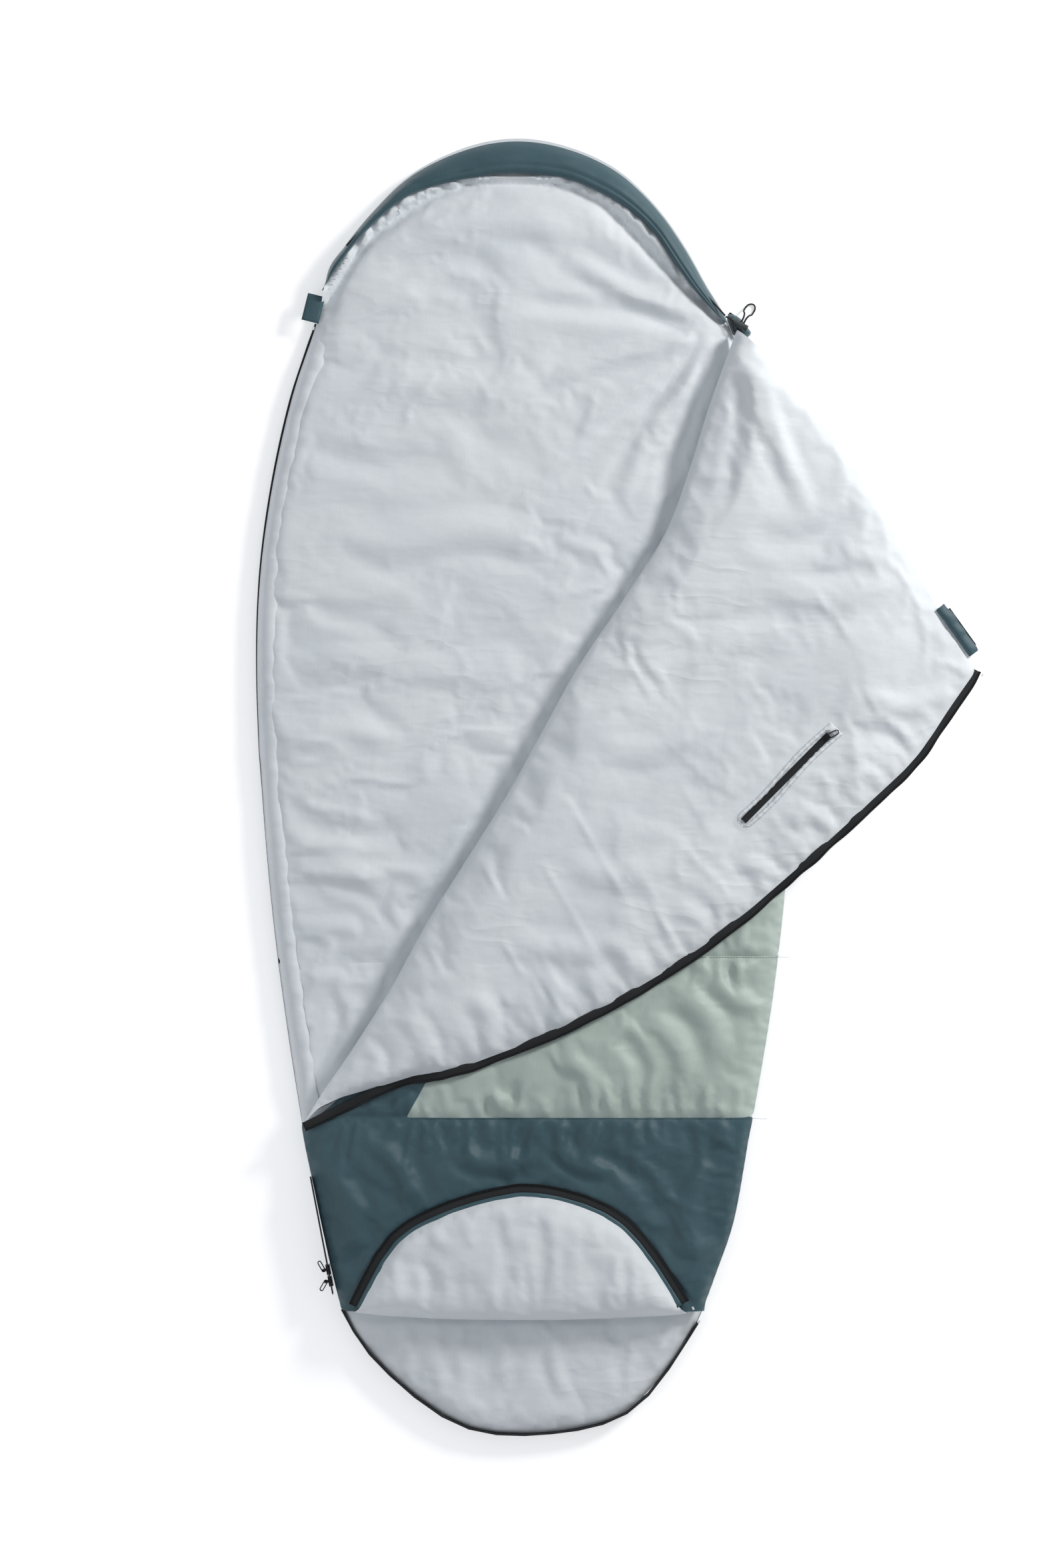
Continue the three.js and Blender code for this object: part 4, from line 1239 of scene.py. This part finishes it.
def flap_height(plan):
    to_roll = line_distance(plan, FOLD_EDGE)
    to_free = line_distance(plan, FLAP_FREE)
    z = ROLL_MIDDLE + (FLAP_FLAT - ROLL_MIDDLE) * round_edge(to_roll, 0.085)
    crown = np.exp(-((to_roll - 0.085) / 0.06) ** 2)
    z += (FLAP_CROWN - FLAP_FLAT) * crown * (1 + 0.25 * ripple(plan, 0.2, 8.8, 1.1, 1.5, 2))
    shape = round_edge(to_free, 0.05)
    z = FLAP_EDGE_Z + (z - FLAP_EDGE_Z) * np.where(to_roll < to_free, 1, shape)
    near_end = smooth(to_free / 0.03)
    z = np.where(to_roll < to_free, FLAP_EDGE_Z + (z - FLAP_EDGE_Z) * near_end, z)
    soft = np.clip(to_free / 0.04, 0, 1) * smooth(to_roll / 0.05)
    folds = 1.3 * strokes(plan, FLAP_FOLDS, True)
    folds += 3.2 * MM * ripple(plan, 0.09, 6.1, 0.9, 2.0, 3)
    folds += 3.5 * MM * creases(plan, 0.09, 2.1, 2.0, 2.2)
    folds += 2.0 * MM * creases(plan, 0.045, 6.6, 2.2, 2.2)
    z = z + soft * folds
    z += gathers(plan, ZIP_LINE, 0.05, 6.5 * MM, 0.022, 1.7) * np.clip(to_free / 0.01, 0, 1)
    z += gathers(plan, FOLD_EDGE, 0.05, 1.6 * MM, 0.05, 3.7) * np.clip(to_roll / 0.012, 0, 1)
    z -= sag(plan[:, 0]) * smooth(to_roll / 0.05)
    z = z + smooth(1.15 - pocket_gap(plan) / 0.03) * (FLAP_TOP - 0.0008 - z)
    return np.minimum(z, 0.104)


def held_at(plan):
    """The pocket's stitching holds the lining round it."""
    return smooth(1 - pocket_gap(plan) / 0.02)


def rolled(name, loop, roll, toward, height_of, under_z, reach, material):
    """A folded-over sheet: its upper face, round its rolled edge and back underneath."""
    plan, faces = fill(loop, STEP)
    ring = len(closed_even(loop, STEP))
    shaped = at_height(plan, height_of(plan))
    held = np.maximum(smooth(1 - edge_distance(plan, loop) / 0.014), held_at(plan))
    shaped = buckle(shaped, faces, held, 0.012, up=0.006)
    shaped[:, 2] = np.minimum(shaped[:, 2], HIGHEST)
    z = shaped[:, 2]
    gap, share = to_line(plan[:ring], roll)
    edge = [i for i in np.argsort(share) if gap[i] < 0.0008]
    points = [shaped]
    total = len(plan)
    last = edge
    share = share[edge]
    ends = smooth(np.minimum(share, 1 - share) / 0.04)
    new_faces = list(faces)
    for t in (0.12, 0.3, 0.55, 0.8, 1.0):
        down = z[edge] - (z[edge] - under_z) * math.sin(t * math.pi / 2)
        go = (1 - math.cos(t * math.pi / 2)) * reach * ends + 0.0004
        row = plan[edge] + toward * go[:, None]
        points.append(at_height(row, down))
        ids = list(range(total, total + len(edge)))
        total += len(edge)
        for a, b, c, d in zip(last, last[1:], ids[1:], ids):
            new_faces.append([a, b, c, d])
        last = ids
    obj = mesh_object(name, np.vstack(points), new_faces, [material])
    face_out(obj)
    return obj


def flap():
    obj = rolled("flap_lining", FLAP_SEEN, FOLD_EDGE, FOLD_RIGHT[:2], flap_height,
                 UNDER_ROLL, 0.03, LINING)
    subdivide(obj)
    cloth_sheet(obj)
    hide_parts("flap_lining")
    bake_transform(obj)
    plan, faces = fill(FLAP, 0.015)
    d = line_distance(plan, FLAP_FREE)
    turned_up = 1 - round_edge(d, 0.022)
    z = SHELL_Z + (FLAP_EDGE_Z - 0.001 - SHELL_Z) * turned_up - sag(plan[:, 0])
    z += 1.5 * MM * (1 - np.exp(-(d / 0.03) ** 2)) * (np.abs(ripple(plan, 0.08, 2.8)) * 0.4)
    under = part_of(at_height(plan, z), faces,
                    lambda m: right_of_fold(m[:, :2]) > edge_shift(m[:, :2]) + 0.045,
                    "flap_shell", SAGE)
    cloth(under, "cover_flap", "sage_shell", "flap_shell")
    stuffing("flap_batting", batting_loop(FLAP), BATTING_LOW, BATTING_HIGH, "cover_flap",
             "flap_insulation", droop=True)
    crossing_strip()


def batting_loop(loop):
    """Inside the flap, clear of its rolled edge."""
    small = inset(loop, 0.025)
    fine = closed_even(small, 0.01)
    s = right_of_fold(fine)
    short = np.maximum(0, edge_shift(fine) + 0.085 - s)
    return fine + short[:, None] * FOLD_RIGHT[:2]


def crossing_strip():
    """The shell where it turns inside the roll, from the fixed cover to the folded one."""
    line = FOLD_EDGE[3:-12]
    rows = []
    for go, z in ((0.06, 0.0588), (0.035, 0.0590), (0.024, 0.0592), (0.019, 0.0597),
                  (0.018, 0.0603), (0.019, 0.0611), (0.024, 0.0614), (0.035, 0.0614),
                  (0.06, 0.0614)):
        rows.append(at_height(line + FOLD_RIGHT[:2] * go, z))
    obj = loft("shell_at_the_fold", rows, SAGE)
    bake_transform(obj)


# ---- the foot flap

FOOT_EDGE = spline(bags([(274, -867), (235, -873), (150, -877), (60, -880), (-40, -880),
                         (-140, -878), (-230, -873), (-279, -866)]), 0.01)
FOOT_ROLL_Z = 0.058
FOOT_CROWN = 0.0875
FOOT_EDGE_Z = 0.0705
FOOT_FLAP_FOLDS = seam_folds(-862, -240, 250, 120, 0, 5)[::2] + [
    ([(x, -690 - abs(x) * 0.12), (x + 12, -760)], 3.5, 10) for x in (-150, -95, -30, 40, 110, 160)
]


def foot_flap_loop():
    loop = closed_even(FOOT_FLAP, 0.006)
    free = longest_run(loop, loop[:, 1] > FOOT_CREASE + 0.004)
    if free[0, 0] > free[-1, 0]:
        free = free[::-1]
    return free, np.vstack([free, FOOT_EDGE])


FOOT_FREE, FOOT_SEEN = foot_flap_loop()
if area(FOOT_SEEN) < 0:
    FOOT_SEEN = FOOT_SEEN[::-1]


def foot_flap_height(plan):
    to_roll = line_distance(plan, FOOT_EDGE)
    to_free = line_distance(plan, FOOT_FREE)
    z = FOOT_ROLL_Z + (FOOT_CROWN - FOOT_ROLL_Z) * round_edge(to_roll, 0.04)
    shape = np.where(to_free < to_roll, round_edge(to_free, 0.035), smooth(to_free / 0.02))
    z = FOOT_EDGE_Z + (z - FOOT_EDGE_Z) * shape
    soft = np.clip(to_free / 0.03, 0, 1) * smooth(to_roll / 0.03)
    z += soft * (1.2 * strokes(plan, FOOT_FLAP_FOLDS) + 2.5 * MM * ripple(plan, 0.06, 3.3))
    z += gathers(plan, FOOT_FREE, 0.03, 2.5 * MM, 0.02, 5.1) * np.clip(to_free / 0.01, 0, 1)
    return z


def foot_flap():
    obj = rolled("foot_flap_lining", FOOT_SEEN, FOOT_EDGE, np.array([0, 1.0]),
                 foot_flap_height, 0.0354, 0.025, LINING)
    subdivide(obj)
    cloth_sheet(obj)
    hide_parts("foot_flap_lining")
    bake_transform(obj)
    plan, faces = fill(FOOT_FLAP, 0.015)
    d = line_distance(plan, FOOT_FREE)
    z = SHELL_Z + 0.0085 * (1 - round_edge(d, 0.02))
    under = mesh_object("foot_flap_shell", at_height(plan, z), faces, [TEAL])
    cloth_sheet(under)
    finish_piece(under, "foot_flap", "teal_shell", "foot_flap_shell")
    stuffing("foot_flap_batting", inset(FOOT_FLAP, 0.03), BATTING_LOW, BATTING_HIGH,
             "foot_flap", "foot_flap_insulation")


# ---- zips


def edge_line(line, z, wobble, scale, seed):
    """A 3-D line along a plan line, at height z, that waves up and down a little."""
    line = spline(line[::4], 0.006)
    return at_height(line, z + wobble * quiver(line, scale, seed) - sag(line[:, 0]))


def outward(line, loop):
    """Turns a line so that its left side is outside the loop."""
    n = normals_of(line)
    probe = line[:, :2] + n * 0.01
    return line[::-1] if inside(probe, loop).mean() > 0.5 else line


def flap_zip():
    line = edge_line(ZIP_LINE, FLAP_EDGE_Z - 0.001, 0.006, 20, 1.5)
    line = outward(line, FLAP)
    sway = 0.013 + 0.002 * quiver(line, 22, 8)
    tape = ribbon("flap_zip_tape", line, -0.003, sway, 0.0006, -0.0045, TAPE)
    finish_piece(tape, "cover_flap", "zip_tape", "flap_zip_tape")
    n = normals_of(line)
    coil = at_height(line[:, :2] + n * (sway[:, None] - 0.002), line[:, 2] - 0.003)
    coil = teeth("flap_zip_coil", coil, COIL)
    finish_piece(coil, "cover_flap", "zip_coil", "flap_zip_coil")


def foot_flap_zip():
    line = spline(FOOT_FREE[::3], 0.006)
    line = outward(at_height(line, 0.0698 + 0.003 * quiver(line, 25, 4)), FOOT_FLAP)
    facing = ribbon("foot_flap_facing", line, -0.003, 0.006, 0.001, -0.0005, TEAL)
    finish_piece(facing, "foot_flap", "teal_shell")
    tape = ribbon("foot_flap_zip_tape", line, 0.003, 0.0195, -0.0014, -0.006, TAPE)
    finish_piece(tape, "foot_flap", "zip_tape", "foot_flap_zip_tape")
    n = normals_of(line)
    coil = at_height(line[:, :2] + n * 0.0178, line[:, 2] - 0.0042)
    finish_piece(teeth("foot_flap_zip_coil", coil, COIL), "foot_flap", "zip_coil",
                 "foot_flap_zip_coil")


# ---- edges, tabs and the pocket


def left_edge(lowest):
    """The base's left edge, from the shoulder down to the row called lowest."""
    side = EGG[(EGG[:, 0] < CENTRE_X) & (EGG[:, 1] > bag(0, lowest)[1])
               & (EGG[:, 1] < bag(0, 770)[1])]
    return spline(side[np.argsort(-side[:, 1])][::6], 0.006)


def draft_tube():
    """The soft tube sewn inside the side zip, on the left edge of the base."""
    side = left_edge(-540)
    n = normals_of(side)
    if inside(side + n * 0.01, EGG).mean() < 0.5:
        n = -n
    along = np.linspace(0, 1, len(side))
    full = smooth(np.minimum(along, 1 - along) / 0.05)
    pucker = quiver(side, 45, 3)
    rows = []
    for share in np.linspace(0, 1, 9):
        reach = 0.003 + 0.034 * share * (0.9 + 0.12 * pucker)
        at = side + n * reach[:, None]
        swell = math.sin(math.pi * share) ** 0.6 * 0.0065 * (1 + 0.35 * pucker) * full
        rows.append(at_height(at, base_height(at) + swell + 0.0004))
    obj = loft("draft_tube", rows, LINING)
    subdivide(obj)
    finish_piece(obj, "mattress", "grey_lining", "side_draft_tube")


def side_zip():
    """The zip half sewn into the base's left edge. It shows where the quilt stands back."""
    side = outward(left_edge(-600), EGG)
    n = normals_of(side)
    shows = np.array([noise.noise(Vector((p[1] * 3.5, 1.2, 0.5))) for p in side])
    high_up = smooth((side[:, 1] + 0.15) / 0.8)
    reach = 0.0005 + 0.003 * high_up * np.clip(0.8 + 1.5 * shows, 0, 1)
    line = at_height(side, 0.0145)
    tape = ribbon("side_zip_tape", line, -0.008, reach, 0, -0.002, TAPE)
    finish_piece(tape, "mattress", "zip_tape", "side_zip_tape_base")
    coil = line + at_height(n * (reach - 0.002)[:, None], -0.0015)
    finish_piece(teeth("side_zip_coil", coil, COIL), "mattress", "zip_coil",
                 "side_zip_coil_base")


def corner_tab():
    """A short teal tab sewn along the collar edge by the flap's corner."""
    line = spline(bags([(684, 294), (700, 274), (722, 244), (741, 217)]), 0.003)
    line = outward(line, FLAP)
    n = normals_of(line)
    wave_at = quiver(line, 60, 2)
    rows = []
    for share in np.linspace(0, 1, 8):
        reach = -0.006 + (0.019 + 0.002 * wave_at) * share
        z = FLAP_EDGE_Z + 0.011 - sag(line[:, 0]) + 0.003 * math.sin(math.pi * share)
        z = z - 0.005 * share + 0.0015 * wave_at
        rows.append(at_height(line + n * reach[:, None], z))
    obj = thicken(loft("corner_tab_cloth", rows[::-1], TEAL), 0.0012, 0)
    subdivide(obj)
    finish_piece(obj, "corner_tab", "teal_shell", "corner_tab")
    sewn = rows[2] + np.array([0, 0, 0.0009])
    finish_piece(stitches("corner_tab_stitching", sewn, DARK_THREAD), "corner_tab",
                 "teal_shell")


def around_slit(width, square_end):
    """A closed line round the pocket's slit: round at the low end, square at the high one."""
    half = width / 2
    length = float(np.linalg.norm(POCKET_HIGH - POCKET_LOW))
    low, high = -length / 2 - half * 0.6, length / 2 + square_end
    ring = [(high, -half), (high, half), (low + half, half)]
    ring += [(low + half - half * math.sin(a), half * math.cos(a))
             for a in np.linspace(0.3, math.pi - 0.3, 9)]
    ring += [(low + half, -half)]
    ring = closed_even(np.array(ring), 0.004)
    bend = 0.0025 * np.sin(ring[:, 0] / length * 2 * math.pi)
    return (POCKET_MIDDLE + ring[:, :1] * POCKET_ALONG
            + (ring[:, 1:] + bend[:, None]) * POCKET_ACROSS)


def pocket():
    outer = around_slit(0.031, 0.017)
    inner_edge = around_slit(0.0125, 0.002)
    plan, faces = fill(outer, 0.004)
    to_slit = np.where(inside(plan, inner_edge), 0, edge_distance(plan, inner_edge))
    to_out = edge_distance(plan, outer)
    z = FLAP_TOP - 0.001 + 0.0042 * round_edge(to_out, 0.006) * smooth(to_slit / 0.003)
    z += 0.0008 * ripple(plan, 0.012, 4.2, 0.78, 0.7, 2) * smooth(to_slit / 0.004)
    points = at_height(plan, z)
    obj = part_of(points, faces, lambda m: ~inside(m[:, :2], inner_edge), "pocket_facing_cloth",
                  LINING)
    subdivide(obj)
    finish_piece(obj, "cover_flap", "grey_lining", "pocket_facing")
    for width, end, name in ((0.0275, 0.0155, "pocket_outer_stitching"),
                             (0.016, 0.0045, "pocket_inner_stitching")):
        ring = around_slit(width, end)
        sewn = stitches(name, at_height(ring, FLAP_TOP + 0.0034), THREAD)
        finish_piece(sewn, "cover_flap", "grey_lining")


LOCK_PLACE = bag(360, 762)
LOCK_ALONG = np.array([0.885832, -0.464007])
CORD_ALONG = np.array([0.464007, 0.885832])
LOCK_Z = 33.3
CORD_THICK = 0.003


def cord_loop():
    """The drawcord's free loop: out of the rim, through the lock, round and back."""
    half = 2.4
    route = [(-15, 0, 42.5), (-10, -7, 41.5), (-5, -13, LOCK_Z + 2.5),
             (-half - 0.3, -10, LOCK_Z + 0.2), (-half, -6.5, LOCK_Z), (-half, 0, LOCK_Z),
             (-half, 6, LOCK_Z), (-half, 12, LOCK_Z), (-half - 0.5, 17, LOCK_Z - 1),
             (-half - 2, 22, LOCK_Z - 6), (-half - 4, 25, 18), (-half - 5, 28, 8),
             (-half - 5, 34, 2), (-half - 3, 41, 1.8), (0, 45, 1.8), (5, 44, 1.8),
             (8, 39, 1.8), (8, 33, 2.5), (7.5, 28, 8), (6.5, 25, 18), (4.5, 22, LOCK_Z - 6),
             (half + 0.5, 17, LOCK_Z - 1), (half, 12, LOCK_Z), (half, 6, LOCK_Z),
             (half, 0, LOCK_Z), (half, -7, LOCK_Z), (half, -11, LOCK_Z - 1), (half, -15, 29.1)]
    start = np.append(bag(334.6, 776.5), 40 * MM)
    points = [start] + [np.append(LOCK_PLACE + (a * LOCK_ALONG + c * CORD_ALONG) * MM, z * MM)
                        for a, c, z in route]
    line = spline(points, 0.0015)
    obj = tube("drawcord_free_loop", line, CORD_THICK / 2, CORD)
    finish_piece(obj, "mattress", "black_cord", "drawcord_loop")


def small_soft_parts():
    """The gussets at the hood's corner and at the foot, and the pocket's bag."""
    for node, name in (("hood_corner_gusset", "hood_corner"), ("foot_gusset", "foot_corner")):
        lo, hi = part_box(node)
        top = max(hi.z, 0.036) if node == "foot_gusset" else hi.z
        stuffing(name, outline_of(node), lo.z + 0.0002, top, "mattress", node, rim=0.012,
                 step=0.006, material=TEAL, slot="teal_shell", full=0.5)
    lo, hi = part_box("pocket_bag")
    stuffing("pocket_bag_cloth", outline_of("pocket_bag"), lo.z + 0.001, hi.z - 0.001,
             "cover_flap", "pocket_bag", rim=0.01, step=0.02, material=LINING,
             slot="grey_lining", full=0.1)


def garage_tab():
    """The tab that closes over the top of the side zip."""
    hinge = spline(bags([(-337, 812), (-348, 768)]), 0.004)
    n = normals_of(hinge)
    if (n[:, 0] > 0).mean() > 0.5:
        n = -n
    rows = []
    for share in np.linspace(0, 1, 7):
        at = hinge + n * (-0.009 + 0.029 * share)
        z = 0.0292 + 0.0016 * math.sin(math.pi * share)
        rows.append(at_height(at, z))
    obj = thicken(loft("garage_tab_cloth", rows, TEAL), 0.0012, 0)
    finish_piece(obj, "zip_garage_tab", "teal_shell", "zip_garage_tab")


def seam_stitching():
    """Sewn lines across the fixed cover, one at the quilting and one at the colour change."""
    for y, start, end, name in ((QUILT_SEAM, 200, 436, "quilt_stitching"),
                                (COLOUR_SEAM, -185, 400, "colour_stitching")):
        line = even(bags([(start, 0), (end, 0)]), 0.004)
        line[:, 1] = y - 0.002
        near = cover_height(line)
        sewn = stitches(name, at_height(line, near + 0.0012), DARK_THREAD)
        finish_piece(sewn, "mattress", "sage_shell")


# ---- finishes of the kept nodes

FINISH = {
    "teal_shell": TEAL, "sage_shell": SAGE, "grey_lining": LINING, "batting": BATTING,
    "zip_tape": TAPE, "zip_coil": COIL, "slider_metal": METAL, "white_stop": STOP,
    "black_cord": CORD, "lock_plastic": LOCK, "spring_steel": STEEL, "hook_tape": HOOK,
}


# The first of these words that a node's name holds says what the node is made of.
WORD_SLOTS = [
    ("hook", "hook_tape"), ("stop", "white_stop"), ("coil", "zip_coil"),
    ("zip_tape", "zip_tape"), ("pocket_pull", "slider_metal"), ("_pull", "black_cord"),
    ("_slider", "slider_metal"), ("drawcord", "black_cord"),
    ("cord_lock_spring", "spring_steel"), ("cord_lock", "lock_plastic"),
    ("insulation", "batting"), ("lining", "grey_lining"), ("draft_tube", "grey_lining"),
    ("pocket_bag", "grey_lining"), ("pocket_facing", "grey_lining"), ("", "teal_shell"),
]


def slot_of(name):
    return next(slot for word, slot in WORD_SLOTS if word in name)


def paint_frame():
    for name, obj in frame["nodes"].items():
        obj.data.materials.clear()
        obj.data.materials.append(FINISH[slot_of(name)])


# ---- build

base()
base_shells()
stuffing("base_batting", inset(EGG, 0.03), 0.003, 0.0150, "mattress", "base_insulation",
         "hood_insulation")
hood_rim()
fixed_cover()
flap()
foot_flap()
flap_zip()
foot_flap_zip()
draft_tube()
side_zip()
corner_tab()
pocket()
cord_loop()
garage_tab()
seam_stitching()
small_soft_parts()
paint_frame()
